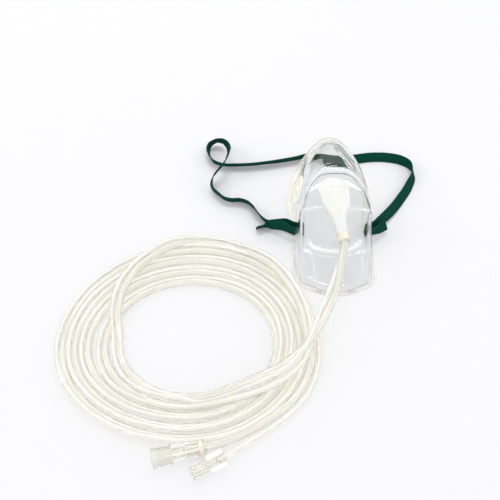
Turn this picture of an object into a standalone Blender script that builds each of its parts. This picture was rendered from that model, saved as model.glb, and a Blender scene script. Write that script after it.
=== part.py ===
"""Oxygen face mask with twin tubing, lying face down on a table.

Lengths are in millimetres and become metres when a mesh is made. The mask's axis is +Y towards the nose,
+X is to the right of the photograph, and the table is z = 0. The origin is under the chin end of the seal.
"""

import math
from typing import NamedTuple

import bmesh
import bpy
import numpy as np
from mathutils import Matrix, Vector
from mathutils.bvhtree import BVHTree

MM = 0.001

# Clearance between pieces that touch in the real object.
GAP = 0.3

# Mask shell and the soft seal under its rim.
WALL = 1.2
SKIRT = 1.5
SEAL_THICKNESS = 1.4
SEAL_INNER = 2.5
SEAL_BEAD = 1.3
SEAL_BEAD_HEIGHT = 1.0
SEAL_SECTION_STEP = 5.0
SHELL_STEP = 7.0
SHELL_STEP_ACROSS = 5.4
RIM_LIFT = SEAL_THICKNESS + GAP + SKIRT
CAST_REACH = 120.0

# How a section runs from its middle to its shoulder: shares of the shoulder's width, drop and bow.
ACROSS = (0.0, 0.36, 0.68, 1.0)
DROP_SHARE = (0.0, 0.06, 0.36, 1.0)
BOW_SHARE = (0.0, 0.12, 0.5, 1.0)
WALL_RAKE = 0.45


class Section(NamedTuple):
    """One cross-section of the shell. Heights are above the rim's level on a flat table."""

    y: float
    top: float
    bow: float
    shoulder_x: float
    shoulder_z: float
    wall_x: float
    wall_z: float
    rake: float
    rim_x: float
    rim_z: float
    lip: float


CHIN = Section(0.5, 0.0, -8.5, 27.0, 0.0, 31.5, 0.0, 23.5, 34.0, 0.0, 3.0)
CHIN_ROLL = Section(3.5, 3.0, -8.0, 26.5, 3.5, 31.5, 3.0, 23.5, 34.3, 0.0, 2.4)
CHIN_PANEL = Section(19.0, 9.6, -4.0, 26.8, 10.0, 32.2, 6.5, 14.0, 34.5, 0.0, 2.2)
LEDGE_LIP = Section(29.8, 15.3, -2.7, 27.4, 15.6, 33.0, 8.3, 5.6, 34.8, 0.0, 2.0)
LEDGE_FRONT = Section(31.2, 16.2, -2.5, 27.5, 16.5, 33.0, 8.7, 5.2, 34.8, 0.0, 2.0)
LEDGE_BACK = Section(36.0, 17.2, -1.6, 28.0, 18.4, 33.2, 10.3, 5.0, 35.0, 0.0, 2.0)
STEEP_FOOT = Section(37.4, 18.7, -1.4, 28.0, 19.9, 33.2, 10.8, 5.0, 35.0, 0.0, 2.0)
STEEP_PANEL = Section(47.0, 30.5, 0.3, 28.3, 29.3, 32.8, 15.0, 5.0, 34.8, 0.0, 2.0)
CREASE_LOW = Section(55.6, 41.2, 2.0, 28.1, 40.0, 32.0, 20.3, 5.6, 33.6, 0.0, 1.9)
CREASE = Section(57.3, 43.0, 3.0, 28.0, 41.8, 31.8, 21.0, 5.8, 33.3, 0.0, 1.9)
CREASE_HIGH = Section(59.5, 43.9, 3.3, 27.8, 42.8, 31.6, 21.6, 6.4, 33.0, 0.0, 1.9)
FACET_LOW = Section(67.0, 46.4, 5.0, 26.6, 44.6, 31.3, 23.0, 8.0, 32.5, 0.0, 2.0)
FACET_HIGH = Section(77.0, 49.6, 9.0, 25.4, 46.8, 31.8, 25.0, 8.5, 33.3, 0.2, 2.8)
ARCH_INNER = Section(88.0, 52.6, 14.5, 23.8, 48.0, 32.4, 25.0, 4.5, 35.0, 0.8, 3.8)
ARCH_OUTER = Section(91.5, 56.1, 13.5, 24.4, 50.2, 32.2, 26.0, 8.0, 35.6, 1.8, 4.2)
NOSE_BASE = Section(107.0, 55.8, 2.0, 22.5, 48.0, 29.8, 28.5, 4.0, 34.8, 4.6, 4.4)
NOSE_BRIDGE = Section(122.0, 53.2, -0.5, 18.0, 45.8, 24.7, 30.5, 3.0, 30.5, 13.4, 4.5)
NOSE_PEAK = Section(135.5, 49.0, 0.0, 13.0, 43.5, 17.8, 36.0, 0.5, 22.0, 26.0, 4.4)
NOSE_RIM = Section(147.5, 41.2, 2.6, 9.4, 38.6, 12.0, 37.0, -4.8, 14.2, 35.0, 4.3)
SECTIONS = (
    CHIN,
    CHIN_ROLL,
    CHIN_PANEL,
    LEDGE_LIP,
    LEDGE_FRONT,
    LEDGE_BACK,
    STEEP_FOOT,
    STEEP_PANEL,
    CREASE_LOW,
    CREASE,
    CREASE_HIGH,
    FACET_LOW,
    FACET_HIGH,
    ARCH_INNER,
    ARCH_OUTER,
    NOSE_BASE,
    NOSE_BRIDGE,
    NOSE_PEAK,
    NOSE_RIM,
)

# Exhalation valves: a flap held by its stud over a ring of holes in each cheek.
VENT_Y = 88.0
VENT_Z = 36.0
FLAP_RADIUS = 12.6
FLAP_THICKNESS = 0.9
FLAP_BEAD = 0.7
FLAP_LIFT = 0.5
STUD_RADIUS = 1.4
STUD_HEAD = 2.6
VENT_HOLE_RADIUS = 1.7
VENT_HOLE_CIRCLE = 7.6
VENT_HOLES = 8

# Tubes.
TUBE = 6.8
LINE = 3.8
TUBE_SOCKET = 7.0
FREE_TUBE_LIFT = 0.3

# Tube connector: a domed head that snaps into the facet's port, and an upright oval spigot for both tubes.
PORT_X = -2.7
PORT_Y = 70.5
CONNECTOR_YAW = math.radians(9.0)
HEAD_RADIUS = 13.0
HEAD_HEIGHT = 8.0
HEAD_STANDOFF = 1.1
NECK_SHARE = 0.78
SPIGOT_START = 40.7
SPIGOT_LENGTH = 6.0
SOCKET_WALL = 0.6
SOCKET_CLEARANCE = 0.25
SOCKET_WEB = 0.6
TUBE_ABOVE_FACET = 3.4
PORT_RADIUS = 6.0
SNAP_RIM = 1.4
SNAP_THICKNESS = 1.3
GAS_BORE_RADIUS = 4.4
RING_THICKNESS = 0.8

# Head strap: flat elastic on its edge, threaded round the bar between two slots on each side.
STRAP_HEIGHT = 9.5
STRAP_THICKNESS = 1.0
STRAP_CLEAR = 0.2
STRAP_STEP = 8.0
SLOT_Z = 10.5
SLOT_FRONT_Y = 60.7
SLOT_REAR_Y = 68.0
SLOT_WIDTH = 2.4
SLOT_MARGIN = 0.8

# Coil of twin tubing, as the ring that the turns fill.
COIL_CENTRE = (-120.0, -37.0)
COIL_RADII = (104.0, 91.0)
COIL_HOLE_CENTRE = (-118.0, -47.5)
COIL_HOLE_RADII = (69.5, 57.5)
COIL_HEIGHT = 13.2
COIL_ROUND = 3.0

# Oxygen connector for the supply nipple: distances run from the tube's end towards the open bell.
BELL_RADIUS = 6.85
BELL_BORE = 5.0
BELL_THROAT = 4.3
BELL_DEPTH = 14.0
FUNNEL_LENGTH = 38.0
FUNNEL_BODY = 5.0
FUNNEL_GROOVE = 4.7
FUNNEL_SOCKET = 15.0
FUNNEL_SLEEVE = 5.3
FUNNEL_THROUGH = 2.4
FUNNEL_COLLAR = 7.4
FUNNEL_RING_LENGTH = 3.2

# Luer lock of the sampling line.
LUER_LENGTH = 26.0
LUER_COLLAR_LENGTH = 11.0
LUER_COLLAR = 4.7
LUER_COLLAR_BORE = 3.9
LUER_NOZZLE = 2.1
LUER_BODY = 2.9
LUER_THROUGH = 0.9
LUER_GRIPS = 12
LUER_GRIP = 0.5
WING_SPAN = 12.8
WING_LENGTH = 11.5
WING_THICKNESS = 1.6
WING_START = 1.5

# Routes chosen by hand from the photograph: (x, y, z) of the middle of the tube or of the strap.
LEAD_ROUTE = (
    (3.1, 15.4, 36.0),
    (2.1, 6.0, 32.5),
    (0.2, -3.9, 28.5),
    (-2.9, -14.7, 24.0),
    (-7.3, -24.2, 20.0),
    (-12.3, -34.3, 17.9),
    (-19.2, -47.4, 17.4),
    (-26.7, -59.2, 17.4),
    (-37.0, -70.8, 17.4),
    (-47.6, -80.0, 17.4),
    (-61.7, -87.0, 17.4),
    (-76.9, -91.5, 17.4),
    (-90.0, -94.0, 12.5),
    (-103.0, -95.3, 7.0),
    (-117.0, -93.8, 3.9),
    (-131.0, -89.5, 3.7),
    (-147.0, -81.0, 3.7),
    (-163.0, -67.0, 3.7),
    (-174.5, -52.0, 3.7),
    (-180.5, -38.0, 3.7),
)
TAIL_TUBE_ROUTE = (
    (-56.0, -113.4, 3.7),
    (-66.0, -121.2, 3.7),
    (-76.1, -128.6, 3.7),
    (-89.3, -134.8, 5.4),
    (-100.1, -138.8, 7.6),
)
TAIL_LINE_ROUTE = (
    (-52.5, -117.8, 2.2),
    (-60.5, -125.0, 2.2),
    (-69.6, -132.4, 3.0),
    (-79.3, -139.8, 4.2),
    (-86.0, -144.6, 5.4),
)
FUNNEL_HEADING = (-0.966, -0.246, 0.0)
LUER_HEADING = (-0.875, -0.484, 0.0)
STRAP_RIGHT = (
    (36.6, 70.2, 10.3, 0.0, 0.0),
    (44.0, 76.5, 9.0, -0.45, 0.35),
    (54.0, 88.7, 6.0, -0.9, 0.65),
    (68.3, 109.8, 3.4, -0.96, 0.7),
    (79.6, 129.1, 3.4, -0.9, 0.55),
    (86.0, 146.2, 4.4, -0.4, 0.1),
    (83.7, 157.8, 4.8, 0.0, 0.25),
    (75.6, 165.0, 4.4, 0.0, 0.6),
    (61.0, 169.2, 3.9, 0.0, 0.84),
    (45.8, 168.9, 3.9, 0.0, 0.84),
    (28.3, 165.5, 3.9, 0.0, 0.84),
    (10.0, 163.7, 4.2, 0.0, 0.6),
    (-6.9, 167.8, 4.4, 0.0, 0.5),
    (-22.1, 169.0, 4.8, 0.0, 0.3),
    (-35.3, 167.2, 4.9, 0.0, 0.2),
    (-55.6, 160.8, 5.0, 0.0, 0.0),
    (-75.6, 155.9, 5.0, 0.0, -0.1),
    (-97.7, 154.0, 4.9, 0.0, -0.25),
    (-111.0, 159.6, 4.8, 0.0, -0.35),
    (-117.9, 173.1, 4.9, 0.0, -0.35),
    (-114.6, 187.2, 5.2, 0.0, -0.35),
    (-105.5, 190.5, 7.2, 0.0, -0.35),
    (-98.8, 181.2, 11.0, 0.0, -0.35),
    (-99.2, 165.9, 14.8, 0.0, -0.25),
    (-103.6, 152.4, 14.8, 0.2, -0.2),
    (-110.0, 142.1, 11.0, 0.3, -0.2),
    (-112.2, 129.3, 6.8, 0.2, -0.2),
    (-105.7, 116.9, 4.9, 0.0, -0.3),
    (-95.6, 107.7, 4.9, 0.0, -0.3),
    (-84.0, 102.6, 4.9, 0.0, -0.2),
    (-72.6, 100.2, 5.0, 0.0, -0.15),
    (-66.8, 91.2, 5.0, 0.0, 0.0),
    (-59.6, 82.6, 6.0, 0.2, 0.3),
    (-50.0, 77.6, 8.0, 0.1, 0.5),
    (-42.0, 73.8, 9.8, 0.0, 0.3),
    (-36.8, 70.2, 10.3, 0.0, 0.0),
)
STRAP_TAIL_RIGHT = (
    (50.0, 73.2, 8.0, -0.6, 0.45),
    (43.0, 66.8, 9.3, -0.3, 0.2),
    (37.2, 63.2, 10.3, 0.0, 0.0),
)
STRAP_TAIL_LEFT = (
    (-37.4, 63.2, 10.3, 0.0, 0.0),
    (-44.0, 68.2, 9.6, 0.0, 0.3),
    (-51.5, 72.8, 8.2, 0.0, 0.5),
    (-60.0, 74.6, 6.0, 0.0, 0.5),
    (-68.0, 69.6, 4.6, 0.0, 0.3),
)


def clear_scene():
    for item in list(bpy.data.objects):
        bpy.data.objects.remove(item, do_unlink=True)


def new_collection(name):
    collection = bpy.data.collections.new(name)
    bpy.context.scene.collection.children.link(collection)
    return collection


def plastic(name, colour, roughness):
    """A Principled material with plain values."""
    material = bpy.data.materials.new(name)
    material.use_nodes = True
    shader = material.node_tree.nodes["Principled BSDF"]
    shader.inputs["Base Color"].default_value = (*colour, 1.0)
    shader.inputs["Roughness"].default_value = roughness
    shader.inputs["Metallic"].default_value = 0.0
    return material


def add_mesh(name, points, faces, collection, material):
    """Makes an object from points in millimetres."""
    mesh = bpy.data.meshes.new(name)
    mesh.from_pydata([tuple(MM * c for c in point) for point in points], [], faces)
    if material:
        mesh.materials.append(material)
    item = bpy.data.objects.new(name, mesh)
    collection.objects.link(item)
    return item


def add_cutter(name, points, faces, cutters):
    item = add_mesh(name, points, faces, cutters, None)
    item.hide_render = True
    item.display_type = "WIRE"
    return item


def boolean(item, other, operation):
    modifier = item.modifiers.new(other.name, "BOOLEAN")
    modifier.operation = operation
    modifier.solver = "EXACT"
    modifier.object = other


def smooth_through(points, knots, at, start_slope=None):
    """Values at the given knots of the smooth curves that pass through points along their first axis."""
    knots = np.asarray(knots, float)
    gaps = np.diff(knots)
    share = gaps.reshape(-1, *([1] * (points.ndim - 1)))
    chords = np.diff(points, axis=0) / share
    slopes = np.empty_like(points)
    slopes[0] = chords[0] if start_slope is None else start_slope
    slopes[-1] = chords[-1]
    slopes[1:-1] = (share[1:] * chords[:-1] + share[:-1] * chords[1:]) / (share[1:] + share[:-1])
    span = np.clip(np.searchsorted(knots, at, side="right") - 1, 0, len(gaps) - 1)
    t = ((np.asarray(at) - knots[span]) / gaps[span]).reshape(-1, *([1] * (points.ndim - 1)))
    h = share[span]
    start = (2 * t**3 - 3 * t**2 + 1) * points[span] + (t**3 - 2 * t**2 + t) * h * slopes[span]
    end = (3 * t**2 - 2 * t**3) * points[span + 1] + (t**3 - t**2) * h * slopes[span + 1]
    return start + end


def smooth_route(route, step):
    """The route's points and those between them, no more than a step apart, on the smooth curve."""
    points = np.array(route, float)
    knots = np.concatenate([[0.0], np.cumsum(np.linalg.norm(np.diff(points, axis=0), axis=1))])
    return smooth_through(points, knots, steps_between(knots, step))


def section_points(section):
    """The six points of a section, from its middle to the rim."""
    drop = section.top - section.shoulder_z
    points = [
        (
            share * section.shoulder_x,
            section.y - bow * section.bow,
            section.top - fall * drop,
        )
        for share, fall, bow in zip(ACROSS, DROP_SHARE, BOW_SHARE)
    ]
    shoulder_y = section.y - section.bow
    wall_y = shoulder_y + WALL_RAKE * (section.rake + section.bow)
    points.append((section.wall_x, wall_y, section.wall_z))
    points.append((section.rim_x, section.y + section.rake, section.rim_z))
    return points


def steps_between(knots, step):
    """Knots split so that no stretch is longer than a step."""
    found = [knots[0]]
    for low, high in zip(knots[:-1], knots[1:]):
        count = max(1, math.ceil((high - low) / step))
        found.extend(np.linspace(low, high, count + 1)[1:])
    return np.array(found)


def shell_grid():
    """The outer surface of the right half, chin to nose by middle to rim, and its lip widths."""
    net = np.array([section_points(section) for section in SECTIONS], float)
    net[:, :, 2] += RIM_LIFT
    along = np.concatenate([[0.0], np.cumsum(np.linalg.norm(np.diff(net, axis=0), axis=2).mean(axis=1))])
    across = np.concatenate([[0.0], np.cumsum(np.linalg.norm(np.diff(net, axis=1), axis=2).mean(axis=0))])
    rows_at = steps_between(along, SHELL_STEP)
    rows = smooth_through(net, along, rows_at)
    level = np.zeros_like(rows[:, 0])
    level[:, 0] = rows[:, 1, 0] / across[1]
    columns_at = steps_between(across, SHELL_STEP_ACROSS)
    grid = smooth_through(rows.transpose(1, 0, 2), across, columns_at, level).transpose(1, 0, 2)
    lips = smooth_through(np.array([[section.lip] for section in SECTIONS]), along, rows_at)[:, 0]
    return grid, lips


def rim_path(grid, lips):
    """Half of the rim, from the middle of the chin to that of the nose, with the lip's widths."""
    path = np.concatenate([grid[0], grid[1:, -1], grid[-1, -2::-1]])
    widths = np.concatenate(
        [np.full(grid.shape[1], lips[0]), lips[1:], np.full(grid.shape[1] - 1, lips[-1])]
    )
    return path, widths


def rim_frames(path):
    """Unit vectors up and outward, square to the rim, at each of its points."""
    ahead = np.gradient(path, axis=0)
    ahead[0] = (1.0, 0.0, 0.0)
    ahead[-1] = (-1.0, 0.0, 0.0)
    ahead /= np.linalg.norm(ahead, axis=1)[:, None]
    up = np.array([0.0, 0.0, 1.0]) - ahead[:, 2:] * ahead
    up /= np.linalg.norm(up, axis=1)[:, None]
    return up, np.cross(ahead, up)


def grid_faces(rows, columns):
    return [
        (r * columns + c, r * columns + c + 1, (r + 1) * columns + c + 1, (r + 1) * columns + c)
        for r in range(rows - 1)
        for c in range(columns - 1)
    ]


def add_mirror(item):
    modifier = item.modifiers.new("Mirror", "MIRROR")
    modifier.use_axis = (True, False, False)
    modifier.merge_threshold = 1e-5


def make_shell(grid, lips, collection, material):
    """The moulded shell: the loft between its sections, a skirt along the rim, and its wall inwards."""
    rows, columns = grid.shape[:2]
    faces = grid_faces(rows, columns)
    loop = [c for c in range(columns)]
    loop += [r * columns + columns - 1 for r in range(1, rows)]
    loop += [(rows - 1) * columns + c for c in range(columns - 2, -1, -1)]
    path, _ = rim_path(grid, lips)
    up, _ = rim_frames(path)
    skirt = path - SKIRT * up
    skirt[[0, -1], 0] = 0.0
    first = rows * columns
    faces += [(loop[k + 1], loop[k], first + k, first + k + 1) for k in range(len(loop) - 1)]
    points = np.concatenate([grid.reshape(-1, 3), skirt])
    item = add_mesh("mask_shell", points, faces, collection, material)
    add_mirror(item)
    wall = item.modifiers.new("Wall", "SOLIDIFY")
    wall.thickness = WALL * MM
    wall.offset = -1.0
    return item


def make_seal(grid, lips, collection, material):
    """The soft seal: one section swept along the rim, flat underneath, with a bead at its outer edge."""
    path, widths = rim_path(grid, lips)
    knots = np.concatenate([[0.0], np.cumsum(np.linalg.norm(np.diff(path, axis=0), axis=1))])
    at = np.linspace(0.0, knots[-1], round(knots[-1] / SEAL_SECTION_STEP) + 1)
    path = smooth_through(path, knots, at)
    widths = np.interp(at, knots, widths)
    up, out = rim_frames(path)
    points = []
    for base, width, rise, side in zip(path - RIM_LIFT * up, widths, up, out):
        bead = width - SEAL_BEAD
        top = SEAL_THICKNESS + SEAL_BEAD_HEIGHT
        profile = (
            (-SEAL_INNER, 0.0),
            (-SEAL_INNER, 0.6 * SEAL_THICKNESS),
            (-SEAL_INNER + 0.8, SEAL_THICKNESS),
            (bead - 0.2, SEAL_THICKNESS),
            (bead, top - 0.4),
            (bead + 0.4, top),
            (width - 0.4, top),
            (width, top - 0.5),
            (width, 0.4),
            (width - 0.4, 0.0),
        )
        points += [base + across * side + height * rise for across, height in profile]
    points = np.array(points)
    count = len(profile)
    points[:count, 0] = 0.0
    points[-count:, 0] = 0.0
    faces = [
        (r * count + k, r * count + (k + 1) % count, (r + 1) * count + (k + 1) % count, (r + 1) * count + k)
        for r in range(len(path) - 1)
        for k in range(count)
    ]
    item = add_mesh("face_seal", points, faces, collection, material)
    add_mirror(item)
    return item


def shell_tree(grid):
    """Both halves of the outer surface, to find where a line meets the shell."""
    rows, columns = grid.shape[:2]
    points = grid.reshape(-1, 3)
    faces = grid_faces(rows, columns)
    mirrored = points * (-1.0, 1.0, 1.0)
    other = [tuple(len(points) + i for i in reversed(face)) for face in faces]
    everything = [tuple(p) for p in np.concatenate([points, mirrored])]
    return BVHTree.FromPolygons(everything, faces + other)


def frame_at(origin, normal, ahead):
    """A matrix whose Z is the normal and whose Y lies as near to ahead as it can."""
    z = Vector(normal).normalized()
    y = (Vector(ahead) - Vector(ahead).dot(z) * z).normalized()
    x = y.cross(z)
    matrix = Matrix((x, y, z)).transposed().to_4x4()
    matrix.translation = Vector(origin)
    return matrix


def placed(matrix, points):
    return [tuple(matrix @ Vector(point)) for point in points]


def loft(rings, close_ends=True):
    """Points and faces of a closed body through rings of equal counts."""
    count = len(rings[0])
    points = [point for ring in rings for point in ring]
    faces = [
        (r * count + k, r * count + (k + 1) % count, (r + 1) * count + (k + 1) % count, (r + 1) * count + k)
        for r in range(len(rings) - 1)
        for k in range(count)
    ]
    if close_ends:
        last = (len(rings) - 1) * count
        faces.append(tuple(reversed(range(count))))
        faces.append(tuple(range(last, last + count)))
    return points, faces


def turned(profile, steps=20):
    """Points and faces of a ring turned about Z: (radius, height) points up its bore, down its outside."""
    rings = []
    for k in range(steps):
        angle = 2 * math.pi * k / steps
        rings.append([(r * math.cos(angle), r * math.sin(angle), h) for r, h in profile])
    points, faces = loft(rings + rings[:1], close_ends=False)
    count = len(profile)
    wrap = steps * count
    faces = [tuple(i % wrap for i in face) for face in faces]
    return points[:wrap], faces


def rod(radius, low, high, steps=24):
    """Points and faces of a cylinder about Z."""
    rings = [
        [(radius * math.cos(a), radius * math.sin(a), h) for a in np.arange(steps) * 2 * math.pi / steps]
        for h in (low, high)
    ]
    return loft(rings)


def box(low, high):
    """Points and faces of a box."""
    rings = [
        [(low[0], low[1], z), (high[0], low[1], z), (high[0], high[1], z), (low[0], high[1], z)]
        for z in (low[2], high[2])
    ]
    return loft(rings)


def joined(parts):
    """Points and faces of several bodies as one mesh."""
    points, faces = [], []
    for more_points, more_faces in parts:
        faces += [tuple(len(points) + i for i in face) for face in more_faces]
        points += list(more_points)
    return points, faces


def vent_frame(tree, side):
    """Where a vent sits on one cheek: Z out of the shell, Y along it towards the nose."""
    hit, normal, _, _ = tree.ray_cast(Vector((side * CAST_REACH, VENT_Y, VENT_Z)), Vector((-side, 0.0, 0.0)))
    return frame_at(hit, normal, (0.0, 1.0, 0.0))


def make_vent(name, matrix, tree, collection, material):
    """The flap of an exhalation valve, draped on the shell, with a bead round its edge and its stud."""
    radius = FLAP_RADIUS
    top = FLAP_LIFT + FLAP_THICKNESS
    profile = (
        (STUD_HEAD * 0.8, -WALL - GAP - 1.2),
        (STUD_HEAD, -WALL - GAP),
        (STUD_RADIUS, -WALL - GAP),
        (STUD_RADIUS, FLAP_LIFT),
        (radius - 0.4, FLAP_LIFT),
        (radius, top),
        (radius - 0.3, top + FLAP_BEAD),
        (radius - 1.2, top + FLAP_BEAD),
        (radius - 1.8, top),
        (7.0, top),
        (3.2, top),
        (2.6, top + FLAP_BEAD),
    )
    steps = 24
    down = -(matrix.to_3x3() @ Vector((0.0, 0.0, 1.0)))
    rings = []
    for k in range(steps):
        angle = 2 * math.pi * k / steps
        ring = []
        for r, h in profile:
            flat = matrix @ Vector((r * math.cos(angle), r * math.sin(angle), 0.0))
            hit = tree.ray_cast(flat - 20.0 * down, down)[0] or flat
            ring.append(tuple(hit - h * down))
        rings.append(ring)
    count = len(profile)
    points = [point for ring in rings for point in ring]
    faces = [
        (k * count + i, (k + 1) % steps * count + i, (k + 1) % steps * count + i + 1, k * count + i + 1)
        for k in range(steps)
        for i in range(count - 1)
    ]
    faces.append(tuple(k * count for k in reversed(range(steps))))
    faces.append(tuple(k * count + count - 1 for k in range(steps)))
    return add_mesh(name, points, faces, collection, material)


def vent_cutter(name, matrix, cutters):
    """The stud's hole and the ring of holes round it."""
    parts = [rod(STUD_RADIUS + GAP, -8.0, 8.0, steps=16)]
    for k in range(VENT_HOLES):
        angle = 2 * math.pi * (k + 0.5) / VENT_HOLES
        shift = (VENT_HOLE_CIRCLE * math.cos(angle), VENT_HOLE_CIRCLE * math.sin(angle), 0.0)
        points, faces = rod(VENT_HOLE_RADIUS, -8.0, 8.0, steps=12)
        parts.append(([tuple(a + b for a, b in zip(point, shift)) for point in points], faces))
    points, faces = joined(parts)
    return add_cutter(name, placed(matrix, points), faces, cutters)


def port_frame(tree):
    """The connector's place: origin on the facet, Z out of it, and -Y along the tubes."""
    hit, normal, _, _ = tree.ray_cast(Vector((PORT_X, PORT_Y, CAST_REACH)), Vector((0.0, 0.0, -1.0)))
    ahead = (-math.sin(CONNECTOR_YAW), math.cos(CONNECTOR_YAW), 0.0)
    return frame_at(hit, (0.0, normal.y, normal.z), ahead)


def line_below_tube():
    """Height of the sampling line's middle above the facet, under the tube."""
    return TUBE_ABOVE_FACET - TUBE / 2 - LINE / 2 - 2 * SOCKET_CLEARANCE - SOCKET_WEB


def spigot_section():
    """Half-width, middle height and half-height of the spigot round both tubes."""
    high = TUBE_ABOVE_FACET + TUBE / 2 + SOCKET_CLEARANCE + SOCKET_WALL
    low = line_below_tube() - LINE / 2 - SOCKET_CLEARANCE - SOCKET_WALL
    return TUBE / 2 + SOCKET_CLEARANCE + SOCKET_WALL, (high + low) / 2, (high - low) / 2


def oval_ring(distance, half_width, middle, half_height, power, steps=28):
    """One section of the connector across -Y: an oval, nearer to a box with a higher power."""
    ring = []
    for k in range(steps):
        angle = 2 * math.pi * k / steps
        c, s = math.cos(angle), math.sin(angle)
        x = half_width * math.copysign(abs(c) ** (2 / power), c)
        z = middle + half_height * math.copysign(abs(s) ** (2 / power), s)
        ring.append((x, -distance, z))
    return ring


def connector_rings():
    """Sections of the connector's body from the far edge of its head to the end of its spigot."""
    half_width, middle, half_height = spigot_section()
    shoulder = half_width + GAP + RING_THICKNESS
    neck = 0.55 * HEAD_RADIUS
    rings = []
    for share in (0.985, 0.94, 0.85, 0.7, 0.5, 0.28, 0.0, -0.25):
        distance = -share * HEAD_RADIUS
        height = HEAD_HEIGHT * (1 - (abs(share) ** 2.6)) ** 0.5
        width = HEAD_RADIUS * math.sqrt(1 - share**2)
        rings.append(oval_ring(distance, width, HEAD_STANDOFF + height / 2, height / 2, 2.5))
    blend = (HEAD_RADIUS * math.sqrt(1 - 0.25**2), HEAD_STANDOFF + HEAD_HEIGHT / 2, HEAD_HEIGHT / 2)
    for share in (0.12, 0.3, 0.5, 0.7, 0.86, 1.0):
        distance = neck + share * (SPIGOT_START - neck)
        ease = share * share * (3 - 2 * share)
        near = min(share / NECK_SHARE, 1.0)
        slim = near * near * (3 - 2 * near)
        width = blend[0] + slim * (shoulder - blend[0])
        mid = blend[1] + ease * (middle - blend[1])
        tall = blend[2] + ease * (half_height + RING_THICKNESS - blend[2])
        rings.append(oval_ring(distance, width, mid, tall, 2.5 - 0.3 * share))
    rings.append(oval_ring(SPIGOT_START, half_width, middle, half_height, 2.2))
    rings.append(oval_ring(SPIGOT_START + SPIGOT_LENGTH, half_width, middle, half_height, 2.2))
    return rings


def across_y(points):
    """Turns a body about Z into one about -Y, so that its heights become distances along the tubes."""
    return [(x, -z, y) for x, y, z in points]


def make_connector(matrix, collection, cutters, material):
    """The connector: body, snap-in stud with its flange, gas bore and the two tube sockets."""
    points, faces = loft(connector_rings())
    item = add_mesh("tube_connector", placed(matrix, points), faces, collection, material)
    flange_top = -WALL - 2 * GAP
    stud = [
        rod(PORT_RADIUS - GAP, flange_top - SNAP_THICKNESS / 2, HEAD_HEIGHT / 2),
        rod(PORT_RADIUS + SNAP_RIM, flange_top - SNAP_THICKNESS, flange_top),
    ]
    for number, (more, sides) in enumerate(stud):
        cutter = add_cutter(f"connector_stud_{number}", placed(matrix, more), sides, cutters)
        boolean(item, cutter, "UNION")
    end = SPIGOT_START + SPIGOT_LENGTH
    start = end - TUBE_SOCKET
    bores = (
        ("gas_bore", rod(GAS_BORE_RADIUS, -10.0, TUBE_ABOVE_FACET + 1.0), False, 0.0),
        ("tube_socket", rod(TUBE / 2 + SOCKET_CLEARANCE, start, end + 5.0, 24), True, TUBE_ABOVE_FACET),
        ("tube_bore", rod(TUBE / 2 - 1.0, 0.0, end + 4.0, 20), True, TUBE_ABOVE_FACET),
        ("line_socket", rod(LINE / 2 + SOCKET_CLEARANCE, start, end + 5.0, 16), True, line_below_tube()),
    )
    for name, (more, sides), along, height in bores:
        if along:
            more = [(x, y, z + height) for x, y, z in across_y(more)]
        boolean(item, add_cutter(name, placed(matrix, more), sides, cutters), "DIFFERENCE")
    return item


def make_connector_ring(matrix, collection, material):
    """The coloured ring pressed over the spigot."""
    half_width, middle, half_height = spigot_section()
    inner = (half_width + GAP, middle, half_height + GAP)
    outer = (inner[0] + RING_THICKNESS, middle, inner[2] + RING_THICKNESS)
    low = SPIGOT_START + GAP
    high = SPIGOT_START + SPIGOT_LENGTH
    rings = [
        oval_ring(low, *inner, 2.2),
        oval_ring(low, outer[0] - 0.3, middle, outer[2] - 0.3, 2.2),
        oval_ring(low + 0.3, *outer, 2.2),
        oval_ring(high - 0.3, *outer, 2.2),
        oval_ring(high, outer[0] - 0.3, middle, outer[2] - 0.3, 2.2),
        oval_ring(high, *inner, 2.2),
    ]
    points, faces = loft(rings + rings[:1], close_ends=False)
    wrap = len(rings) * len(rings[0])
    faces = [tuple(i % wrap for i in face) for face in faces]
    return add_mesh("connector_ring", placed(matrix, points[:wrap]), faces, collection, material)


def add_cord(name, points, diameter, resolution, collection, material):
    """A plain tube along points, with filled caps."""
    curve = bpy.data.curves.new(name, "CURVE")
    curve.dimensions = "3D"
    curve.bevel_depth = diameter / 2 * MM
    curve.bevel_resolution = resolution
    curve.use_fill_caps = True
    spline = curve.splines.new("POLY")
    spline.points.add(len(points) - 1)
    for place, point in zip(spline.points, points):
        place.co = (*(MM * c for c in point), 1.0)
    curve.materials.append(material)
    item = bpy.data.objects.new(name, curve)
    collection.objects.link(item)
    return item


def socket_route(matrix, height, length):
    """Two points from the bottom of a socket to its mouth, and one on the way out."""
    end = SPIGOT_START + SPIGOT_LENGTH
    start = end - length + GAP
    return [tuple(matrix @ Vector((0.0, -distance, height))) for distance in (start, end, end + 4.0)]


def beside(points, offset, angles):
    """Points beside a route: offset turned from its right-hand side (0 degrees) over the top (90)."""
    points = np.array(points, float)
    ahead = np.gradient(points, axis=0)
    ahead /= np.linalg.norm(ahead, axis=1)[:, None]
    right = np.cross(ahead, (0.0, 0.0, 1.0))
    right /= np.linalg.norm(right, axis=1)[:, None]
    top = np.cross(right, ahead)
    along = np.concatenate([[0.0], np.cumsum(np.linalg.norm(np.diff(points, axis=0), axis=1))])
    turn = np.radians(np.interp(along, *zip(*angles)))[:, None]
    return points + offset * (np.cos(turn) * right + np.sin(turn) * top)


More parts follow.
